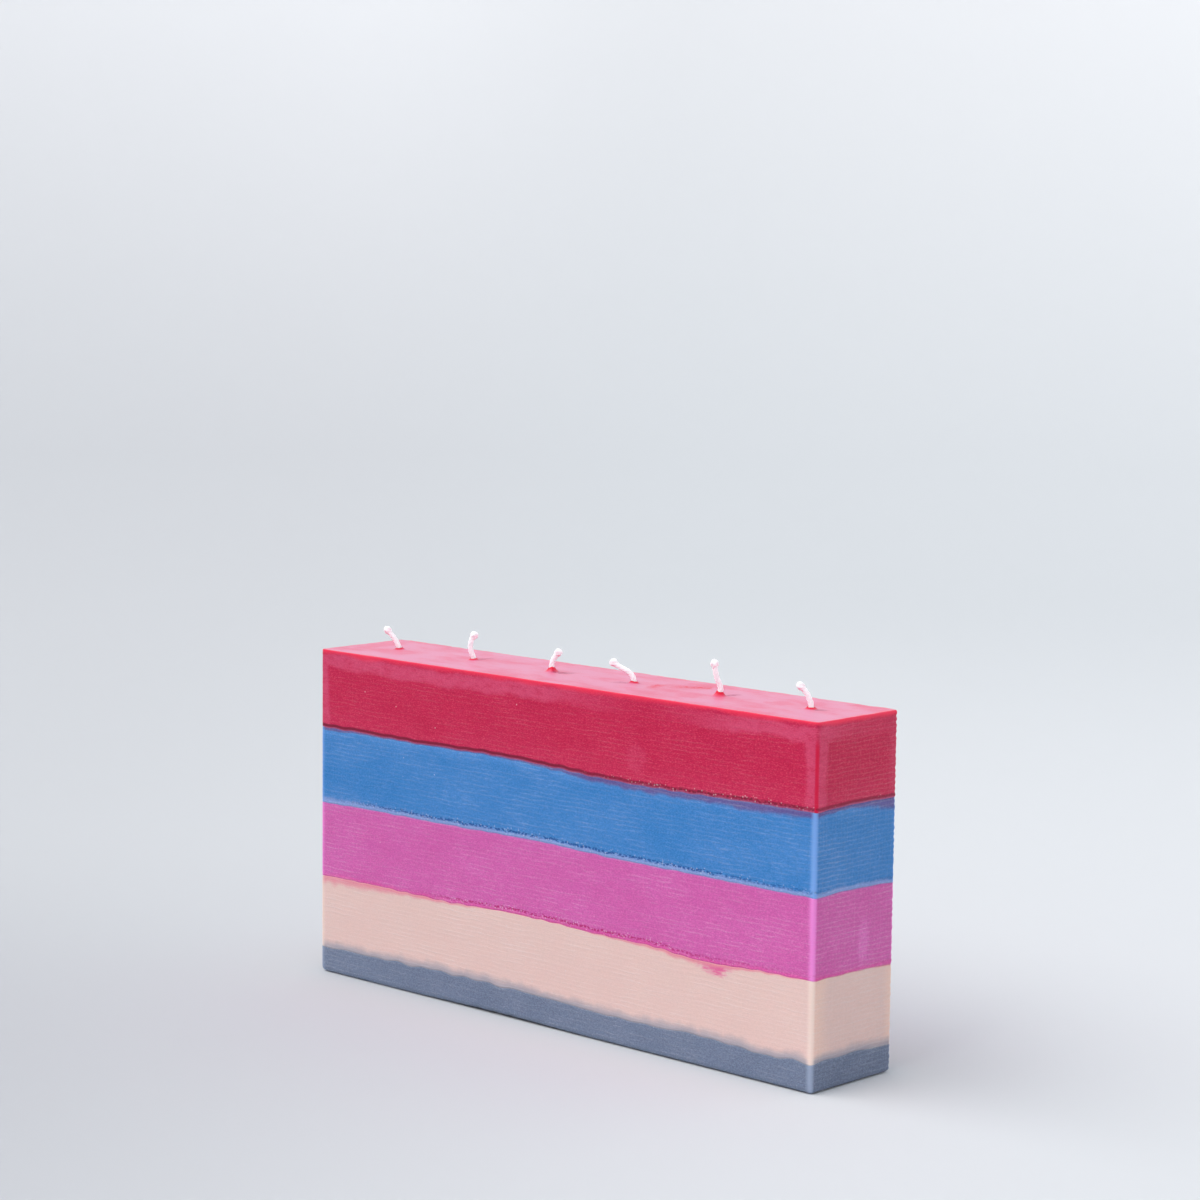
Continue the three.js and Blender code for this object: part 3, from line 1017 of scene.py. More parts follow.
def body_of_wick(n):
    """Points, faces and marks of wick n. free is the length above the wax, fluff is 1 on frayed fibres."""
    chance = np.random.default_rng(80 + n)
    buried, stub = middle_line(n)
    stub = stub[np.linalg.norm(stub - stub[-1], axis=1) > END_TRIM]
    travelled = np.arange(len(stub)) * STUB_STEP
    spread = bulb(np.clip(1 - (travelled[-1] - travelled) / BULB_LENGTH, 0, 1))
    below = -np.arange(len(buried))[::-1] * BURIED_STEP
    buried_tubes, _ = braid(buried, below, BURIED_SIDES, np.ones(len(buried)))
    stub_tubes, frame_of_stub = braid(stub, travelled, STUB_SIDES, spread)
    loose = frayed_end(stub, frame_of_stub, chance) + stray_hairs(stub, frame_of_stub, chance)
    points, faces, marks = [], [], []
    size = 0
    for number, (tube, tube_faces) in enumerate(buried_tubes + stub_tubes + loose):
        points.append(tube)
        faces += [[v + size for v in face] for face in tube_faces]
        size += len(tube)
        nearest = np.argmin(np.linalg.norm(tube[:, None] - stub[None], axis=2), axis=1)
        fluff = float(number >= len(buried_tubes + stub_tubes))
        marks.append(np.column_stack([travelled[nearest] - BRAID_DEPTH, np.full(len(tube), fluff)]))
    return np.concatenate(points), faces, np.concatenate(marks)


# %% Make the six wicks
wicks = []
for n in range(WICK_COUNT):
    points, faces, marks = body_of_wick(n)
    piece = add_piece(f"braided_wick_{n + 1}", points, faces, [True] * len(faces), marks, WICK_MARKS)
    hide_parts(f"wick_{n + 1}")
    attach(piece, "root")
    wicks.append(piece)
    print(piece.name, "faces:", len(faces), "top, mm:", round(float(points[:, 2].max()), 2))

# %% [markdown]
# ## Shader groups for wax
# The five pours share their effects: brushed mould lines, cloud and grain, specks, a chain of pits along
# a seam, dye that creeps across a seam, a change of colour near an edge, smudges and strokes. Each effect
# is a node group with named inputs, built once, and each wax gives it its own values. All of them work in
# millimetres on the object itself, so the marks stay in place from every side.

# %% Helpers for groups
COLOUR = "NodeSocketColor"
FLOAT = "NodeSocketFloat"
VECTOR = "NodeSocketVector"
NOISE_LOW = 0.3
NOISE_HIGH = 0.7
RAGGED = {"detail": 3.0}
BRUSHED = {"detail": 3.0, "roughness": 0.6}
MOTTLED = {"detail": 4.0, "roughness": 0.6}
ONE_BAND_TO_THE_UNIT = np.pi / 10
BAND_CREST = (0.6, 1.0)
BAND_DETAIL = 2.0
BAND_DETAIL_SCALE = 1.5


def new_group(name, inputs, outputs):
    """A shader group with named sockets, and its input and output sockets to link to."""
    group = bpy.data.node_groups.new(name, "ShaderNodeTree")
    for title, kind in inputs.items():
        group.interface.new_socket(title, in_out="INPUT", socket_type=kind)
    for title, kind in outputs.items():
        group.interface.new_socket(title, in_out="OUTPUT", socket_type=kind)
    source = group.nodes.new("NodeGroupInput").outputs
    sink = group.nodes.new("NodeGroupOutput").inputs
    return group, source, sink


def place_group(tree, group, **inputs):
    """The outputs of a group that is placed in a tree with its inputs set."""
    return add_node(tree, "ShaderNodeGroup", {"node_tree": group}, **inputs).outputs


def product(tree, first, *others):
    for other in others:
        first = math(tree, "MULTIPLY", first, other)
    return first


def inverse(tree, mask):
    return math(tree, "SUBTRACT", 1.0, mask)


def linear(tree, value, start, end, low, high):
    return ramp(tree, value, start, end, low, high, kind="LINEAR")


def between(tree, share, low, high):
    """A value that goes evenly from low to high while a share goes from 0 to 1."""
    return linear(tree, share, 0.0, 1.0, low, high)


def vector_math(tree, operation, a, b):
    return add_node(tree, "ShaderNodeVectorMath", {"operation": operation}, _0=a, _1=b).outputs[0]


def axis_of(tree, vector, axis):
    return add_node(tree, "ShaderNodeSeparateXYZ", None, Vector=vector).outputs[axis]


def noise(tree, position, per_mm, detail=2.0, roughness=0.5):
    """Noise with so many spots to the millimetre along x, y and z. A small number draws it out."""
    position = vector_math(tree, "MULTIPLY", position, per_mm)
    inputs = {"Vector": position, "Scale": 1.0, "Detail": detail, "Roughness": roughness}
    return add_node(tree, "ShaderNodeTexNoise", None, **inputs).outputs[0]


def noise_between(tree, value, low, high):
    """Noise hardly leaves the range from 0.3 to 0.7, and this spreads that range from low to high."""
    return linear(tree, value, NOISE_LOW, NOISE_HIGH, low, high)


def bands(tree, position, direction, pitch, wobble):
    """Thin bright lines at a pitch, on a wave that is thrown off its course by noise."""
    per_pitch = math(tree, "DIVIDE", ONE_BAND_TO_THE_UNIT, pitch)
    settings = {"wave_type": "BANDS", "bands_direction": direction}
    wave = add_node(tree, "ShaderNodeTexWave", settings, Vector=position, Scale=per_pitch,
                    Distortion=wobble, Detail=BAND_DETAIL, Detail_Scale=BAND_DETAIL_SCALE)
    return ramp(tree, wave.outputs["Fac"], *BAND_CREST)


print("noise that counts, as a range:", NOISE_LOW, NOISE_HIGH)

# %% Brushed lines, cloud and grain
CLOUD_SPOTS = (0.05, 0.05, 0.09)
GRAIN_SPOTS = (1.6, 1.6, 3.2)
LEVEL_STRETCH = (0.4, 0.4, 1.0)
LEVEL_BREAKS = (0.14, 0.14, 0.9)
DASH_SPOTS = (0.55, 0.55, 2.0)
UPRIGHT_STRETCH = (1.0, 0.3, 1.0)
UPRIGHT_BREAKS = (0.7, 0.12, 1.0)
PATCH_STRENGTHS = (0.5, 1.3)
LEVEL_WOBBLE = 3.0
UPRIGHT_WOBBLE = 2.0
LEVEL_SHOWN = (0.36, 0.62)
DASHES_SHOWN = (0.48, 0.72)
UPRIGHT_SHOWN = (0.4, 0.65)
GRAIN_ROUGHNESS = 0.7


def make_brushed_lines():
    """Wavy level lines that come and go, fine level dashes and upright lines, as masks of paler wax."""
    inputs = {"Position": VECTOR, "Place": FLOAT, "Pitch": FLOAT, "Evenness": FLOAT}
    outputs = {"Level": FLOAT, "Fine": FLOAT, "Upright": FLOAT}
    group, source, sink = new_group("brushed_lines", inputs, outputs)
    position, pitch = source["Position"], source["Pitch"]
    patches = ramp(group, noise(group, position, CLOUD_SPOTS), NOISE_LOW, NOISE_HIGH, *PATCH_STRENGTHS)
    level = bands(group, vector_math(group, "MULTIPLY", position, LEVEL_STRETCH), "Z", pitch, LEVEL_WOBBLE)
    broken = ramp(group, noise(group, position, LEVEL_BREAKS, **BRUSHED), *LEVEL_SHOWN)
    broken = math(group, "MAXIMUM", broken, source["Evenness"])
    group.links.new(product(group, level, broken, patches), sink["Level"])
    dashes = ramp(group, noise(group, position, DASH_SPOTS, **BRUSHED), *DASHES_SHOWN)
    group.links.new(product(group, dashes, patches), sink["Fine"])
    height = axis_of(group, position, "Z")
    unrolled = add_node(group, "ShaderNodeCombineXYZ", None, X=source["Place"], Y=height).outputs[0]
    drawn_out = vector_math(group, "MULTIPLY", unrolled, UPRIGHT_STRETCH)
    upright = bands(group, drawn_out, "X", pitch, UPRIGHT_WOBBLE)
    broken = ramp(group, noise(group, unrolled, UPRIGHT_BREAKS, **BRUSHED), *UPRIGHT_SHOWN)
    group.links.new(product(group, upright, broken), sink["Upright"])
    return group


def make_cloud_and_grain():
    """Slow clouds about two centimetres across, and a fine grain, both as shares from 0 to 1."""
    group, source, sink = new_group("cloud_and_grain", {"Position": VECTOR}, {"Cloud": FLOAT, "Grain": FLOAT})
    cloud = noise(group, source["Position"], CLOUD_SPOTS, **BRUSHED)
    grain = noise(group, source["Position"], GRAIN_SPOTS, roughness=GRAIN_ROUGHNESS)
    group.links.new(noise_between(group, cloud, 0.0, 1.0), sink["Cloud"])
    group.links.new(noise_between(group, grain, 0.0, 1.0), sink["Grain"])
    return group


brushed_lines = make_brushed_lines()
cloud_and_grain = make_cloud_and_grain()
print("groups:", brushed_lines.name, cloud_and_grain.name)

# %% Specks, and pits along a seam
SPECK_CORE = 0.5
ROW_SPOTS = (0.3, 0.0, 0.0)
ROW_WAVER = 0.3
DASH_CORE = 0.3
DASH_SIZE = (0.3, 0.6)
STRIP_FADE = (0.6, 1.6)


def make_specks():
    """Small crumbs: the middles of the few cells that a share picks out."""
    inputs = {"Position": VECTOR, "Spacing": FLOAT, "Size": FLOAT, "Share": FLOAT}
    group, source, sink = new_group("specks", inputs, {"Mask": FLOAT})
    per_cell = math(group, "DIVIDE", 1.0, source["Spacing"])
    cells = add_node(group, "ShaderNodeTexVoronoi", None, Vector=source["Position"], Scale=per_cell)
    size = product(group, source["Size"], per_cell)
    dot = ramp(group, cells.outputs["Distance"], product(group, size, SPECK_CORE), size, 1.0, 0.0)
    lot = add_node(group, "ShaderNodeSeparateColor", None, Color=cells.outputs["Color"]).outputs[0]
    picked = math(group, "LESS_THAN", lot, source["Share"])
    group.links.new(product(group, dot, picked), sink["Mask"])
    return group


def make_seam_pits():
    """A wavering chain of short dark dashes above a seam, and the mask of the strip round it."""
    inputs = {"Place": FLOAT, "Above Row": FLOAT, "Length": FLOAT, "Thickness": FLOAT, "Presence": FLOAT}
    group, source, sink = new_group("seam_pits", inputs, {"Chain": FLOAT, "Strip": FLOAT})
    along = add_node(group, "ShaderNodeCombineXYZ", None, X=source["Place"]).outputs[0]
    waver = noise_between(group, noise(group, along, ROW_SPOTS, **RAGGED), -ROW_WAVER, ROW_WAVER)
    row = math(group, "ADD", source["Above Row"], waver)
    per_dash = math(group, "DIVIDE", source["Place"], source["Length"])
    per_row = math(group, "DIVIDE", row, source["Thickness"])
    plane = add_node(group, "ShaderNodeCombineXYZ", None, X=per_dash, Y=per_row).outputs[0]
    cells = add_node(group, "ShaderNodeTexVoronoi", {"voronoi_dimensions": "2D"}, Vector=plane, Scale=1.0)
    dash = ramp(group, cells.outputs["Distance"], *DASH_SIZE, 1.0, 0.0)
    away = math(group, "ABSOLUTE", row)
    core = product(group, source["Thickness"], DASH_CORE)
    near = ramp(group, away, core, source["Thickness"], 1.0, 0.0)
    group.links.new(product(group, dash, near, source["Presence"]), sink["Chain"])
    strip = ramp(group, away, *STRIP_FADE, 1.0, 0.0)
    group.links.new(product(group, strip, source["Presence"]), sink["Strip"])
    return group


specks = make_specks()
seam_pits = make_seam_pits()
print("groups:", specks.name, seam_pits.name)

# %% Dye that creeps across a seam, and edges
RAGGED_SPOTS = (0.25, 0.25, 0.25)
RAGGED_REACH = (0.75, 1.25)
UNEVEN_SPOTS = (0.07, 0.07, 0.07)
EDGE_CORE = 0.05


def make_dye_creep():
    """The seam's colour over a reach, then the wax's own. Softness is the share that the change takes."""
    inputs = {"Own": COLOUR, "Meeting": COLOUR, "Gap": FLOAT, "Reach": FLOAT, "Softness": FLOAT,
              "Position": VECTOR}
    group, source, sink = new_group("dye_creep", inputs, {"Color": COLOUR})
    ragged = noise_between(group, noise(group, source["Position"], RAGGED_SPOTS, **RAGGED), *RAGGED_REACH)
    reach = product(group, source["Reach"], ragged)
    start = product(group, reach, inverse(group, source["Softness"]))
    share = ramp(group, source["Gap"], start, reach, 1.0, 0.0)
    group.links.new(mix_colour(group, share, source["Own"], source["Meeting"]), sink["Color"])
    return group


# This mask serves real tints near an edge, and the painted glow where light passes through thin wax.
def make_edge_tint_and_glow():
    """A mask that is 1 at an edge and fades out over an uneven width."""
    inputs = {"Gap": FLOAT, "Width": FLOAT, "Unevenness": FLOAT, "Position": VECTOR}
    group, source, sink = new_group("edge_tint_and_glow", inputs, {"Mask": FLOAT})
    uneven = noise_between(group, noise(group, source["Position"], UNEVEN_SPOTS), -1.0, 1.0)
    uneven = product(group, uneven, source["Unevenness"])
    width = product(group, source["Width"], math(group, "ADD", 1.0, uneven))
    core = product(group, width, EDGE_CORE)
    group.links.new(ramp(group, source["Gap"], core, width, 1.0, 0.0), sink["Mask"])
    return group


dye_creep = make_dye_creep()
edge_tint_and_glow = make_edge_tint_and_glow()
print("groups:", dye_creep.name, edge_tint_and_glow.name)

# %% Smudges and strokes
SMUDGE_SPOTS = (0.3, 0.3, 1.1)
SMUDGE_FADE = (0.4, 1.1)
SMUDGE_WAVER = 0.3
STROKE_SPOTS = (0.8, 0.8, 0.8)
STROKE_WAVER = 0.4
STROKE_CORE = 0.35
STROKE_START = (0.0, 0.1)
STROKE_END = (0.5, 1.0)
STROKE_BRUSHED = (0.38, 0.62, 0.35, 1.0)
FULL_BOW = 4.0


def make_smudge():
    """A soft oval patch round a centre, with a brushed edge."""
    inputs = {"Position": VECTOR, "Centre": VECTOR, "Reach": VECTOR}
    group, source, sink = new_group("smudge", inputs, {"Mask": FLOAT})
    off = vector_math(group, "SUBTRACT", source["Position"], source["Centre"])
    share = vector_math(group, "DIVIDE", off, source["Reach"])
    away = add_node(group, "ShaderNodeVectorMath", {"operation": "LENGTH"}, _0=share).outputs["Value"]
    brushed = noise(group, source["Position"], SMUDGE_SPOTS, **BRUSHED)
    away = math(group, "ADD", away, noise_between(group, brushed, -SMUDGE_WAVER, SMUDGE_WAVER))
    group.links.new(ramp(group, away, *SMUDGE_FADE, 1.0, 0.0), sink["Mask"])
    return group


def make_stroke():
    """A soft line on the top face that leaves a start under a heading and bows to its left."""
    inputs = {"Position": VECTOR, "Start": VECTOR, "Heading": FLOAT, "Length": FLOAT, "Bow": FLOAT,
              "Width": FLOAT}
    group, source, sink = new_group("stroke", inputs, {"Mask": FLOAT})
    off = vector_math(group, "SUBTRACT", source["Position"], source["Start"])
    back = product(group, source["Heading"], -1.0)
    turned = add_node(group, "ShaderNodeVectorRotate", {"rotation_type": "Z_AXIS"}, Vector=off, Angle=back)
    parts = add_node(group, "ShaderNodeSeparateXYZ", None, Vector=turned.outputs[0]).outputs
    share = math(group, "DIVIDE", parts["X"], source["Length"])
    bow = product(group, source["Bow"], share, inverse(group, share), FULL_BOW)
    ragged = noise(group, source["Position"], STROKE_SPOTS, **BRUSHED)
    aside = math(group, "SUBTRACT", parts["Y"], bow)
    aside = math(group, "ADD", aside, noise_between(group, ragged, -STROKE_WAVER, STROKE_WAVER))
    core = product(group, source["Width"], STROKE_CORE)
    line = ramp(group, math(group, "ABSOLUTE", aside), core, source["Width"], 1.0, 0.0)
    ends = product(group, ramp(group, share, *STROKE_START), ramp(group, share, *STROKE_END, 1.0, 0.0))
    brushed = linear(group, ragged, *STROKE_BRUSHED)
    group.links.new(product(group, line, ends, brushed), sink["Mask"])
    return group


smudge = make_smudge()
stroke = make_stroke()
print("groups:", smudge.name, stroke.name)

# %% [markdown]
# ## The five waxes
# Each wax starts from its own dye and turns into another colour near the seams, where the hot pour
# melted into the cold one; the slate also darkens along its foot, which is a painted shadow. Then come the
# brushed lines, the cloudiness, a few pale specks and the dark pits, whose darkness is painted shade. Upright
# corners are paler with a painted glow, for the light that passes through the thin wax there, and the end
# faces are darker with painted shade. The shader itself is a Principled one with a little subsurface
# scattering, which gives wax its soft, deep look.

# %% Colours of the waxes
DYES = {
    "slate": (0.160, 0.200, 0.297, 1),
    "peach": (0.820, 0.575, 0.525, 1),
    "pink": (0.655, 0.112, 0.400, 1),
    "blue": (0.040, 0.220, 0.560, 1),
    "red": (0.575, 0.012, 0.072, 1),
}
# Paler versions of the dyes: for random clouds, and for the painted glow along the corners and a painted
# highlight on the pink.
PALE_DYES = {
    "slate": (0.350, 0.415, 0.560, 1),
    "peach": (0.960, 0.755, 0.670, 1),
    "pink": (0.960, 0.295, 0.760, 1),
    "blue": (0.230, 0.435, 0.870, 1),
    "red": (0.890, 0.058, 0.160, 1),
}
# Painted shade for the dark pits above a seam.
PIT_SHADES = {
    "pink": (0.500, 0.020, 0.160, 1),
    "blue": (0.014, 0.080, 0.300, 1),
    "red": (0.200, 0.012, 0.040, 1),
}
FROST = (0.86, 0.83, 0.88, 1)
print("dyes:", list(DYES))

# %% The marks as sockets, and masks made from them
def read_mark(tree, name):
    return add_node(tree, "ShaderNodeAttribute", {"attribute_name": name}).outputs["Fac"]


def position_in_mm(tree):
    """The place on the object, so that the finish stays where it is from every side."""
    place = tree.nodes.new("ShaderNodeTexCoord").outputs["Object"]
    return add_node(tree, "ShaderNodeVectorMath", {"operation": "SCALE"}, _0=place, Scale=1 / MM).outputs[0]


def read_marks(tree):
    """The piece's own marks and its position in millimetres, as sockets."""
    marks = {name: read_mark(tree, name) for name in MARKS}
    marks["position"] = position_in_mm(tree)
    return marks


def tint_and_glow_mask(tree, marks, gap, width, unevenness):
    """A mask that is 1 where the mark named gap is 0, and fades out over a width."""
    inputs = {"Gap": marks[gap], "Width": width, "Unevenness": unevenness}
    return place_group(tree, edge_tint_and_glow, Position=marks["position"], **inputs)["Mask"]


def smudge_mask(tree, marks, centre, reach):
    return place_group(tree, smudge, Position=marks["position"], Centre=centre, Reach=reach)["Mask"]


def speck_mask(tree, marks, spacing, size, share):
    inputs = {"Spacing": spacing, "Size": size, "Share": share}
    return place_group(tree, specks, Position=marks["position"], **inputs)["Mask"]


print("marks that a wax reads:", len(MARKS))

# %% How far each dye creeps over its seams
SEAM_AND_FOOT_SHADE_ABOVE = {
    # The slate's entry is no seam: it is a painted contact shadow along the foot.
    "slate": ((0.045, 0.055, 0.080, 1), 0.9),
    "peach": ((0.370, 0.345, 0.405, 1), 1.0),
    "pink": ((0.760, 0.095, 0.370, 1), 0.9),
    "blue": ((0.250, 0.350, 0.680, 1), 0.7),
    "red": ((0.400, 0.085, 0.200, 1), 0.8),
}
SEAM_BELOW = {
    "slate": ((0.200, 0.240, 0.330, 1), 1.0),
    "peach": ((0.810, 0.265, 0.340, 1), 0.8),
    "pink": ((0.500, 0.130, 0.420, 1), 1.0),
    "blue": ((0.125, 0.085, 0.285, 1), 0.6),
}


def dyed_wax(tree, colour, marks, dye):
    """The dye, turning into other colours towards the seams below and above; on the slate, the dark line
    above its underside is a painted shadow along the foot.
    """
    for seams, gap, reach in ((SEAM_AND_FOOT_SHADE_ABOVE, "above", "reach_up"), (SEAM_BELOW, "below", "reach_down")):
        if colour in seams:
            meeting, softness = seams[colour]
            values = {"Gap": marks[gap], "Reach": marks[reach], "Position": marks["position"]}
            creep = place_group(tree, dye_creep, Own=dye, Meeting=meeting, Softness=softness, **values)
            dye = creep["Color"]
    return dye


print("waxes that meet a seam below and above:", len(SEAM_AND_FOOT_SHADE_ABOVE), len(SEAM_BELOW))

# %% Brushed lines and corners
LINE_PITCH = 1.25
LINE_SHARE = {"red": 0.034, "blue": 0.075, "pink": 0.095, "peach": 0.10, "slate": 0.06}
LEVEL_LINES = {"long": 0.9, "end": 1.3}
UPRIGHT_LINES = {"long": 0.1, "end": 0.5}
FINE_LINES = 0.55
END_EVENNESS = 0.6
GRAIN_DEPTH = {"red": 0.16, "blue": 0.14, "pink": 0.15, "peach": 0.045, "slate": 0.20}
PALE_GRAIN = 0.25
PALE_GRAIN_RANGE = (0.5, 1.0)
GRAIN_HEIGHT = 0.5
CLOUD_SHARE = 0.12
# Painted shade: the end faces are made darker, as they turn away from the lamp.
END_FACE_SHADE = 0.87
STRIP_WIDTH = 2.2
STRIP_UNEVENNESS = 0.15
END_STRIP_WIDTH = 1.1
END_STRIP_SHARE = 0.6


def brushed_wax(tree, colour, marks, dye):
    """Cloud, brushed lines and grain over the dye, with painted shade on the end faces, the height for the
    bump and the grain for the gloss.
    """
    end = marks["end"]
    values = {"Position": marks["position"], "Place": marks["place"], "Pitch": LINE_PITCH}
    lines = place_group(tree, brushed_lines, Evenness=product(tree, end, END_EVENNESS), **values)
    clouds = place_group(tree, cloud_and_grain, Position=marks["position"])
    dye = mix_colour(tree, product(tree, clouds["Cloud"], CLOUD_SHARE), dye, PALE_DYES[colour])
    level = product(tree, lines["Level"], between(tree, end, *LEVEL_LINES.values()))
    upright = product(tree, lines["Upright"], between(tree, end, *UPRIGHT_LINES.values()))
    fine = product(tree, lines["Fine"], FINE_LINES)
    marked = math(tree, "ADD", math(tree, "ADD", level, upright), fine)
    marked = product(tree, marked, inverse(tree, marks["top"]))
    depth = GRAIN_DEPTH[colour]
    pale_grain = ramp(tree, clouds["Grain"], *PALE_GRAIN_RANGE, 0.0, PALE_GRAIN * depth)
    frost = math(tree, "ADD", product(tree, marked, LINE_SHARE[colour]), pale_grain)
    frosted = mix_colour(tree, frost, dye, FROST)
    grain_and_shade = between(tree, clouds["Grain"], 1 - depth, 1 + depth)
    # Painted shade darkens the end faces.
    grain_and_shade = product(tree, grain_and_shade, between(tree, end, 1.0, END_FACE_SHADE))
    grained = add_node(tree, "ShaderNodeVectorMath", {"operation": "SCALE"}, _0=frosted, Scale=grain_and_shade)
    height = math(tree, "ADD", marked, product(tree, clouds["Grain"], GRAIN_HEIGHT))
    return grained.outputs[0], height, clouds["Grain"]


def painted_corner_glow(tree, colour, marks, dye):
    """A painted glow along each upright corner, for light through the thin wax, wider and clearer on the long
    faces.
    """
    width = between(tree, marks["end"], STRIP_WIDTH, END_STRIP_WIDTH)
    strip = tint_and_glow_mask(tree, marks, "edge", width, STRIP_UNEVENNESS)
    share = between(tree, marks["end"], 1.0, END_STRIP_SHARE)
    return mix_colour(tree, product(tree, strip, share), dye, PALE_DYES[colour])


print("brushed lines to the centimetre:", 10 / LINE_PITCH)

# %% Pits and specks
STRAY_SPECKS = {"spacing": 3.4, "size": 0.24, "share": 0.12}
SEAM_SPECKS = {"spacing": 0.7, "size": 0.3, "share": 0.35}
SEAM_SPECK_SHARE = 0.7
SPECK_SHARE = 0.5
PIT_SHARE = 0.9
DASH_LENGTH = 0.95
DASH_THICKNESS = 0.6


def pitted_wax(tree, colour, marks, dye, height):
    """A chain of pits darkened with painted shade, with pale crumbs round it above a seam, and a few specks
    anywhere.
    """
    crumbs = speck_mask(tree, marks, **STRAY_SPECKS)
    row_height = PIT_ROWS[POURS.index(colour)]
    if row_height:
        row = math(tree, "SUBTRACT", marks["above"], row_height)
        values = {"Above_Row": row, "Length": DASH_LENGTH, "Thickness": DASH_THICKNESS}
        pits = place_group(tree, seam_pits, Place=marks["place"], Presence=marks["dots"], **values)
        near = product(tree, speck_mask(tree, marks, **SEAM_SPECKS), pits["Strip"], SEAM_SPECK_SHARE)
        crumbs = math(tree, "MAXIMUM", crumbs, near)
        dye = mix_colour(tree, product(tree, pits["Chain"], PIT_SHARE), dye, PIT_SHADES[colour])
        height = math(tree, "SUBTRACT", height, pits["Chain"])
    dye = mix_colour(tree, product(tree, crumbs, SPECK_SHARE), dye, FROST)
    return dye, height


print("one pit in a row takes, mm:", DASH_LENGTH)

# %% The shader that all waxes use
ROUGHNESS = {"red": 0.42, "blue": 0.42, "pink": 0.42, "peach": 0.45, "slate": 0.34}
ROUGHER = 0.08
SMOOTHER = 0.05
BUMP_STRENGTH = 0.5
BUMP_HEIGHT = 0.05 * MM
SPECULAR = 0.2
WAX_IOR = 1.44
DEPTH_SHARE = 0.2
DEPTHS = (1.0, 0.5, 0.4)
COAT_ROUGHNESS = 0.42
COAT_IOR = 1.45


def wax_shader(tree, colour, dye, height, grain, gloss=None):
    """Soft wax, and a coat where the gloss says so."""
    bump = add_node(tree, "ShaderNodeBump", None, Height=height, Strength=BUMP_STRENGTH, Distance=BUMP_HEIGHT)
    rough = between(tree, grain, ROUGHNESS[colour] - SMOOTHER, ROUGHNESS[colour] + ROUGHER)
    shader = add_node(tree, "ShaderNodeBsdfPrincipled", None, Base_Color=dye, Roughness=rough,
                      Normal=bump.outputs[0], Specular_IOR_Level=SPECULAR, IOR=WAX_IOR,
                      Subsurface_Weight=DEPTH_SHARE, Subsurface_Radius=DEPTHS, Subsurface_Scale=MM)
    if gloss is not None:
        tree.links.new(gloss, shader.inputs["Coat Weight"])
        shader.inputs["Coat Roughness"].default_value = COAT_ROUGHNESS
        shader.inputs["Coat IOR"].default_value = COAT_IOR
    show(tree, shader)


print("height of the finest relief, mm:", BUMP_HEIGHT / MM)

# %% What only one of the lower pours has
CYAN_TOP = (0.090, 0.300, 0.680, 1)
CYAN_WIDTH = 3.2
CYAN_UNEVENNESS = 0.5
CYAN_SHARE = 0.55
SALMON = (0.800, 0.140, 0.340, 1)
SPOTS = {
    # The pale patch on the pink's right end is a painted highlight.
    "pink": ((half_length, 3.5, 38), (2, 2.8, 8), 0.3, PALE_DYES["pink"]),
    "peach": ((63, -half_depth, 29.6), (7, 3, 3.4), 1.0, SALMON),
}
# A painted glow of light through the peach wax, near the corners of its end faces.
PAINTED_GLOW_PEACH = (0.950, 0.640, 0.520, 1)
PEACH_GLOW_SHARE = 0.7
PEACH_GLOW_UNEVENNESS = 0.2
PEACH_GLOW_WIDTHS = {"front": 9, "back": 4}


def light_top(tree, marks, dye):
    """The blue pour is lighter under the seam above it."""
    mask = tint_and_glow_mask(tree, marks, "below", CYAN_WIDTH, CYAN_UNEVENNESS)
    return mix_colour(tree, product(tree, mask, CYAN_SHARE), dye, CYAN_TOP)


def painted_glow_ends(tree, marks, dye):
    """Painted glow: the peach pour's end faces turn orange towards their corners, most at the front, for
    light that passes through the wax.
    """
    across = axis_of(tree, marks["position"], "Y")
    width = linear(tree, across, -half_depth, half_depth, *PEACH_GLOW_WIDTHS.values())
    peach_glow = product(tree, tint_and_glow_mask(tree, marks, "edge", width, PEACH_GLOW_UNEVENNESS), marks["end"], PEACH_GLOW_SHARE)
    return mix_colour(tree, peach_glow, dye, PAINTED_GLOW_PEACH)


def spotted_wax(tree, colour, marks, dye):
    """A painted highlight on the pink's right end, and a blob of pink that ran into the peach."""
    if colour in SPOTS:
        centre, reach, share, paint = SPOTS[colour]
        mask = smudge_mask(tree, marks, centre, reach)
        dye = mix_colour(tree, product(tree, mask, share), dye, paint)
    return dye


print("pours with a spot of their own:", list(SPOTS))

# %% Finish the lower four waxes
def plain_wax(colour):
    """The finish of a wax that shows no bloom."""
    material, tree = new_material(colour + "_wax")
    marks = read_marks(tree)
    dye = DYES[colour]
    if colour == "peach":
        dye = painted_glow_ends(tree, marks, dye)
    if colour == "blue":
        dye = light_top(tree, marks, dye)
    dye = spotted_wax(tree, colour, marks, dye)
    dye = dyed_wax(tree, colour, marks, dye)
    dye, height, grain = brushed_wax(tree, colour, marks, dye)
    dye = painted_corner_glow(tree, colour, marks, dye)
    dye, height = pitted_wax(tree, colour, marks, dye, height)
    wax_shader(tree, colour, dye, height, grain)
    return material


for colour in POURS[:-1]:
    pours[colour].data.materials.append(plain_wax(colour))
    print(colour, "wax nodes:", len(pours[colour].data.materials[0].node_tree.nodes))

# %% [markdown]
# ## The red wax
# The last pour carries a pale bloom, the frost of oils that wax sweats out, in a soft frame below its
# top edge and along its corners, and as a faint haze above the seam. The topmost two millimetres are a
# bright red line of painted glow, for the light that leaks through the sharp edge, and each upright corner
# has a thin crimson one, bare of bloom and painted with the same glow. The top face was cast against a
# smooth mould, so it has a sheen that the walls lack, partly from a glossy coat and partly painted into its
# pale colour. There the bloom is thin, with red smears where it was rubbed off and dark mauve strokes that
# lead away from the wicks.

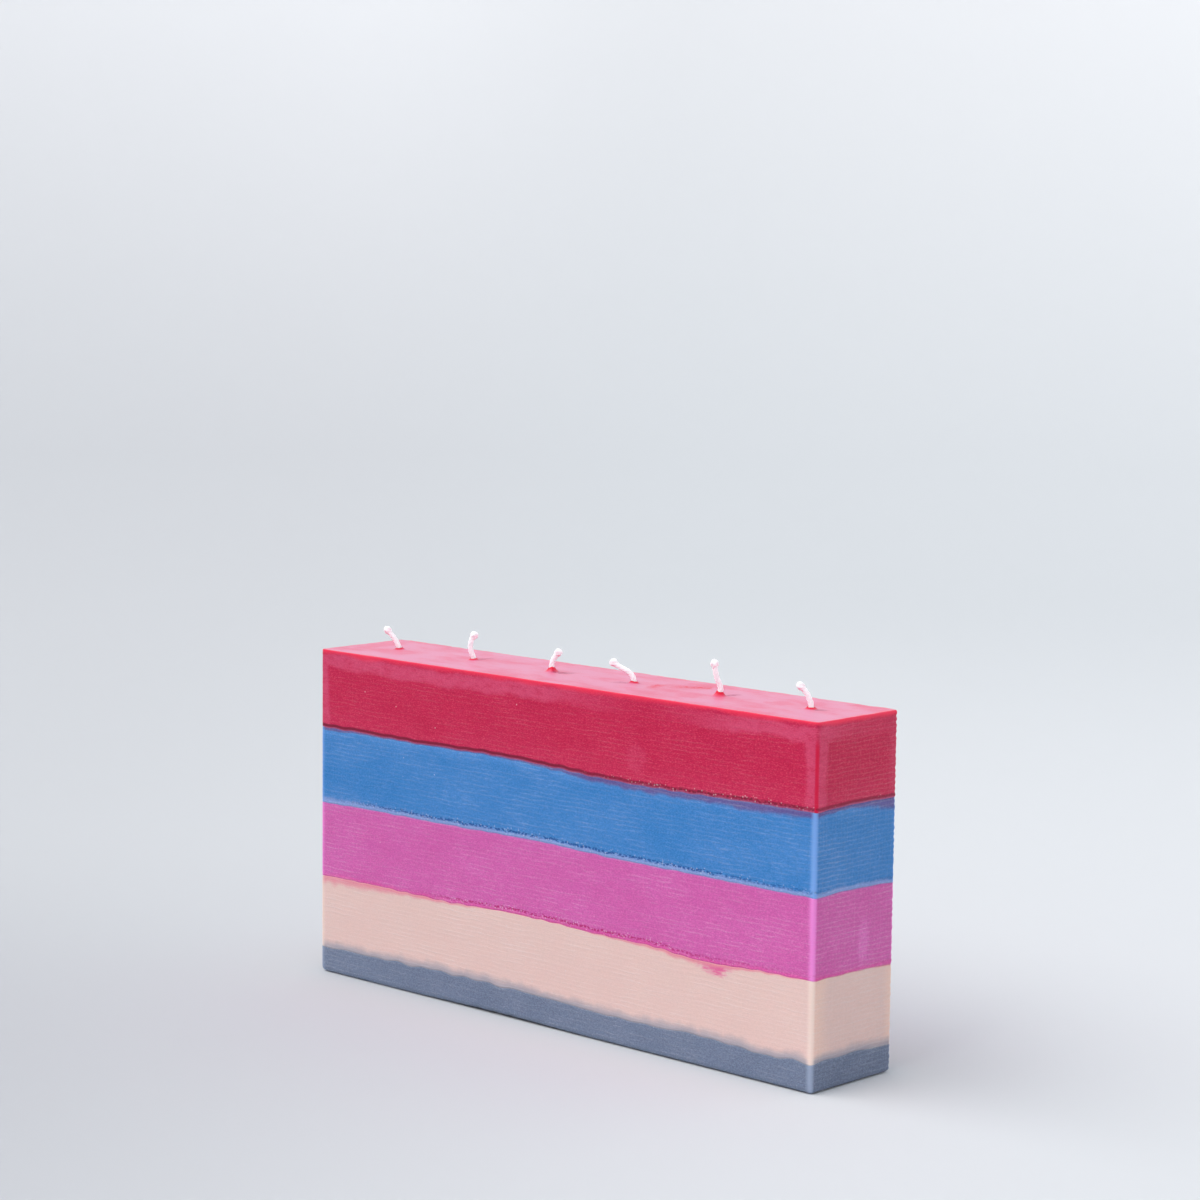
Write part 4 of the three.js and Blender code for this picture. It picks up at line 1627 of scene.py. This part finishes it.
# %% The red pour's bloom
BLOOM = (0.740, 0.100, 0.215, 1)
BLOOM_OUTER = (0.4, 2.2)
BLOOM_INNER = (4.5, 6.3)
CORNER_SHIFT = 1.8
FRAME_SPOTS = (0.1, 0.1, 0.1)
FRAME_WAVER = 0.9
FRAME_SHARE = 0.72
LOW_HEIGHT = 11
LOW_UNEVENNESS = 0.5
LOW_SHARE = 0.12
SMEAR_PLACE = (33, -half_depth, 82)
SMEAR_REACH = (5, 3, 6)
SMEAR_SHARE = 0.3
BLOTCH_SPOTS = (0.3, 0.3, 0.6)
BLOTCHES = (0.3, 0.6, 0.5, 1.0)
BLOOM_GRAIN = (0.7, 1.15)


def red_bloom(tree, marks, dye, grain):
    """The pale frame, a haze low on the wall, and a smear right of the middle."""
    position = marks["position"]
    beside = math(tree, "ADD", marks["edge"], CORNER_SHIFT)
    near = math(tree, "MINIMUM", marks["below"], beside)
    wavy = noise(tree, position, FRAME_SPOTS, **RAGGED)
    near = math(tree, "ADD", near, noise_between(tree, wavy, -FRAME_WAVER, FRAME_WAVER))
    outer = ramp(tree, near, *BLOOM_OUTER)
    inner = ramp(tree, near, *BLOOM_INNER, 1.0, 0.0)
    frame_bloom = product(tree, outer, inner, marks["bloom"], FRAME_SHARE)
    low = product(tree, tint_and_glow_mask(tree, marks, "above", LOW_HEIGHT, LOW_UNEVENNESS), LOW_SHARE)
    smear = product(tree, smudge_mask(tree, marks, SMEAR_PLACE, SMEAR_REACH), SMEAR_SHARE)
    bloom = math(tree, "MAXIMUM", frame_bloom, math(tree, "MAXIMUM", low, smear))
    blotches = ramp(tree, noise(tree, position, BLOTCH_SPOTS, **MOTTLED), *BLOTCHES)
    bloom = product(tree, bloom, between(tree, grain, *BLOOM_GRAIN), blotches)
    return mix_colour(tree, bloom, dye, BLOOM)


print("the bloom ends below the rim by, mm:", BLOOM_INNER[1])

# %% The red pour's rim and lines
# The bright rim is a painted glow, for light that leaks through the sharp top edge.
PAINTED_GLOW_RIM = (0.930, 0.040, 0.100, 1)
RIM_WIDTH = 1.9
RIM_UNEVENNESS = 0.4
RIM_WIDTHS_ON_TOP = {"front": 0.6 * RIM_WIDTH, "back": 1.3 * RIM_WIDTH}
RIM_SHARES = {"wall": 0.95, "top": 0.7}
# The crimson corner line is bare wax without bloom, with a painted glow for light through the thin corner.
CORNER_LINE = (0.680, 0.008, 0.055, 1)
CORNER_LINE_EDGE = (0.25, 0.8)
CORNER_LINE_START = (3.0, 8.0)
DARK_LINE = (0.190, 0.008, 0.035, 1)
DARK_LINE_EDGE = (0.2, 0.65)
DARK_LINE_AT_PITS = 0.45
LINE_STRENGTH = 0.9


def red_lines(tree, marks, dye):
    """The dark line above the seam, the crimson corners, bare of bloom and with painted glow, and the bright
    rim of painted glow.
    """
    away = math(tree, "ABSOLUTE", math(tree, "SUBTRACT", marks["above"], PIT_ROWS[-1]))
    line = ramp(tree, away, *DARK_LINE_EDGE, LINE_STRENGTH, 0.0)
    line = product(tree, line, between(tree, marks["dots"], 1.0, DARK_LINE_AT_PITS))
    dye = mix_colour(tree, line, dye, DARK_LINE)
    corner = ramp(tree, marks["edge"], *CORNER_LINE_EDGE, LINE_STRENGTH, 0.0)
    corner = product(tree, corner, ramp(tree, marks["below"], *CORNER_LINE_START))
    dye = mix_colour(tree, corner, dye, CORNER_LINE)
    across = axis_of(tree, marks["position"], "Y")
    top_width = linear(tree, across, -half_depth, half_depth, *RIM_WIDTHS_ON_TOP.values())
    width = between(tree, marks["top"], RIM_WIDTH, top_width)
    rim = tint_and_glow_mask(tree, marks, "below", width, RIM_UNEVENNESS)
    rim = product(tree, rim, between(tree, marks["top"], *RIM_SHARES.values()))
    return mix_colour(tree, rim, dye, PAINTED_GLOW_RIM)


print("width of the bright rim, mm:", RIM_WIDTH)

# %% The red pour's top face
# The top face's pale pink is thin bloom and a painted sheen, added to the coat's real one.
TOP_BLOOM_AND_SHEEN = (0.800, 0.225, 0.400, 1)
TOP_CLEAR = (0.810, 0.066, 0.150, 1)
TOP_SPOTS = (0.05, 0.11, 0.1)
TOP_CLEARINGS = (0.38, 0.7, 0.0, 0.6)
WET_RED = (0.820, 0.010, 0.050, 1)
MAUVE = (0.420, 0.004, 0.070, 1)
SMEAR_RED = (0.790, 0.020, 0.080, 1)
TOP_GLOSS = 0.75
CLEAR_GLOSS = 0.25 * TOP_GLOSS
PATCH_HEIGHT = 3
RED_PATCHES = [((69, 2.5), (6, 5.5), 0.5), ((42.5, -5.5), (6, 5), 0.5), ((89, 14), (8, 3), 0.6),
               ((-92, 2), (5, 16), 0.5), ((30, 5), (9, 7), 0.4)]
RED_STROKES = [((38, 10), 214, 15.5, 0, 3.2, 1.0), ((23, 5), -74, 12, 0, 2.4, 0.9)]
# Dark mauve strokes that lead away from the wicks on the top face.
MAUVE_STROKES = [((wick_x[1], 0), 80, 9, 0.6, 1.9, 0.6), ((wick_x[2], 0), 24, 9, -1.6, 2.3, 1.0),
                 ((wick_x[3], 0), 205, 8, 0, 2.4, 0.5), ((wick_x[4], 0), 74, 8, -0.5, 1.9, 0.6),
                 ((wick_x[5], 0), 15, 6, -0.3, 1.9, 0.8)]


def stroke_mask(tree, marks, start, heading, length, bow, width):
    """The mask of one stroke on the top face, with its heading in degrees."""
    values = {"Start": (*start, BLOCK_HEIGHT), "Heading": np.radians(heading), "Length": length}
    return place_group(tree, stroke, Position=marks["position"], Bow=bow, Width=width, **values)["Mask"]


def red_top(tree, marks, dye):
    """Thin bloom and a painted sheen on the top face, rubbed off in smears, wet red round the wicks, and the
    coat's weight.
    """
    clear = ramp(tree, noise(tree, marks["position"], TOP_SPOTS, **MOTTLED), *TOP_CLEARINGS)
    for centre, reach, strength in RED_PATCHES:
        patch = smudge_mask(tree, marks, (*centre, BLOCK_HEIGHT), (*reach, PATCH_HEIGHT))
        clear = math(tree, "MAXIMUM", clear, product(tree, patch, strength))
    face = mix_colour(tree, clear, TOP_BLOOM_AND_SHEEN, TOP_CLEAR)
    for strokes, paint in ((RED_STROKES, SMEAR_RED), (MAUVE_STROKES, MAUVE)):
        for *line, strength in strokes:
            mask = stroke_mask(tree, marks, *line)
            clear = math(tree, "MAXIMUM", clear, mask)
            face = mix_colour(tree, product(tree, mask, strength), face, paint)
    face = mix_colour(tree, marks["wet"], face, WET_RED)
    shine = between(tree, math(tree, "MAXIMUM", clear, marks["wet"]), TOP_GLOSS, CLEAR_GLOSS)
    return mix_colour(tree, marks["top"], dye, face), product(tree, marks["top"], shine)


print("patches and strokes on the top face:", len(RED_PATCHES), len(RED_STROKES + MAUVE_STROKES))

# %% Finish the red wax
def red_wax():
    """The finish of the top pour, which alone has bloom, a bright rim of painted glow and a face with a
    sheen, partly painted.
    """
    material, tree = new_material("red_wax")
    marks = read_marks(tree)
    wall = dyed_wax(tree, "red", marks, DYES["red"])
    wall, height, grain = brushed_wax(tree, "red", marks, wall)
    wall = red_bloom(tree, marks, wall, grain)
    dye, gloss = red_top(tree, marks, wall)
    dye = red_lines(tree, marks, dye)
    dye, height = pitted_wax(tree, "red", marks, dye, height)
    wax_shader(tree, "red", dye, height, grain, gloss)
    return material


pours["red"].data.materials.append(red_wax())
print("red wax nodes:", len(pours["red"].data.materials[0].node_tree.nodes))

# %% [markdown]
# ## Cotton
# The wicks are white cotton, stiff with wax. The cotton is stained by the red pour at its root. Its underside
# is red as well, partly stain where the molten wax ran down and partly painted shade and red light bounced up
# from the wax. The frayed ends stay dry and white. Thin cotton lets light through, and a faint glow of its
# own colour stands in for that.

# %% Finish the wicks
COTTON = (0.94, 0.93, 0.95, 1)
BLACK = (0, 0, 0, 1)
# The underside's red is partly stain and partly painted shade and red light bounced up from the wax.
UNDERSIDE_RED = (0.70, 0.07, 0.18, 1)
UNDERSIDE_RED_LENGTH = 11
UNDERSIDE_RED_AT_THE_TIP = 0.7
UNDERSIDE_RED_SPOTS = (1.2, 1.2, 1.2)
UNDERSIDE_RED_PATCHES = (0.35, 0.65, 0.6, 1.0)
FACING_DOWN = (-0.4, -0.7)
ROOT_RED = (0.68, 0.02, 0.07, 1)
ROOT_REACH = (0.21, 0.7)
ROOT_SHARE = 0.9
LIGHT_THROUGH = 0.16
YARN_SPOTS = (14.0, 14.0, 14.0)
YARN_BUMP = 0.3
COTTON_ROUGHNESS = {"braid": 0.6, "fluff": 0.9}
COTTON_SPECULAR = 0.4
COTTON_SHEEN = 0.3


def wick_cotton():
    """White braid, red at the root, red on its underside from stain and from painted shade and bounced red
    light, with dry fluff at the end.
    """
    material, tree = new_material("wick_cotton")
    free, fluff = read_mark(tree, "free"), read_mark(tree, "fluff")
    position = position_in_mm(tree)
    normal = tree.nodes.new("ShaderNodeNewGeometry").outputs["Normal"]
    # Painted shade and bounced red light, together with stain, on the faces that look downwards.
    under = ramp(tree, axis_of(tree, normal, "Z"), *FACING_DOWN)
    fading = linear(tree, free, 0.0, UNDERSIDE_RED_LENGTH, 1.0, UNDERSIDE_RED_AT_THE_TIP)
    patches = ramp(tree, noise(tree, position, UNDERSIDE_RED_SPOTS, **RAGGED), *UNDERSIDE_RED_PATCHES)
    underside_red = product(tree, fading, under, patches, inverse(tree, fluff))
    colour = mix_colour(tree, underside_red, COTTON, UNDERSIDE_RED)
    root = ramp(tree, free, *ROOT_REACH, ROOT_SHARE, 0.0)
    colour = mix_colour(tree, root, colour, ROOT_RED)
    glow = mix_colour(tree, LIGHT_THROUGH, BLACK, colour)
    yarn = noise(tree, position, YARN_SPOTS)
    bump = add_node(tree, "ShaderNodeBump", None, Height=yarn, Strength=YARN_BUMP, Distance=BUMP_HEIGHT)
    rough = between(tree, fluff, *COTTON_ROUGHNESS.values())
    shader = add_node(tree, "ShaderNodeBsdfPrincipled", None, Base_Color=colour, Roughness=rough,
                      Normal=bump.outputs[0], Specular_IOR_Level=COTTON_SPECULAR,
                      Sheen_Weight=COTTON_SHEEN, Emission_Color=glow, Emission_Strength=1.0)
    show(tree, shader)
    return material


cotton = wick_cotton()
for wick in wicks:
    wick.data.materials.append(cotton)
print("cotton nodes:", len(cotton.node_tree.nodes))
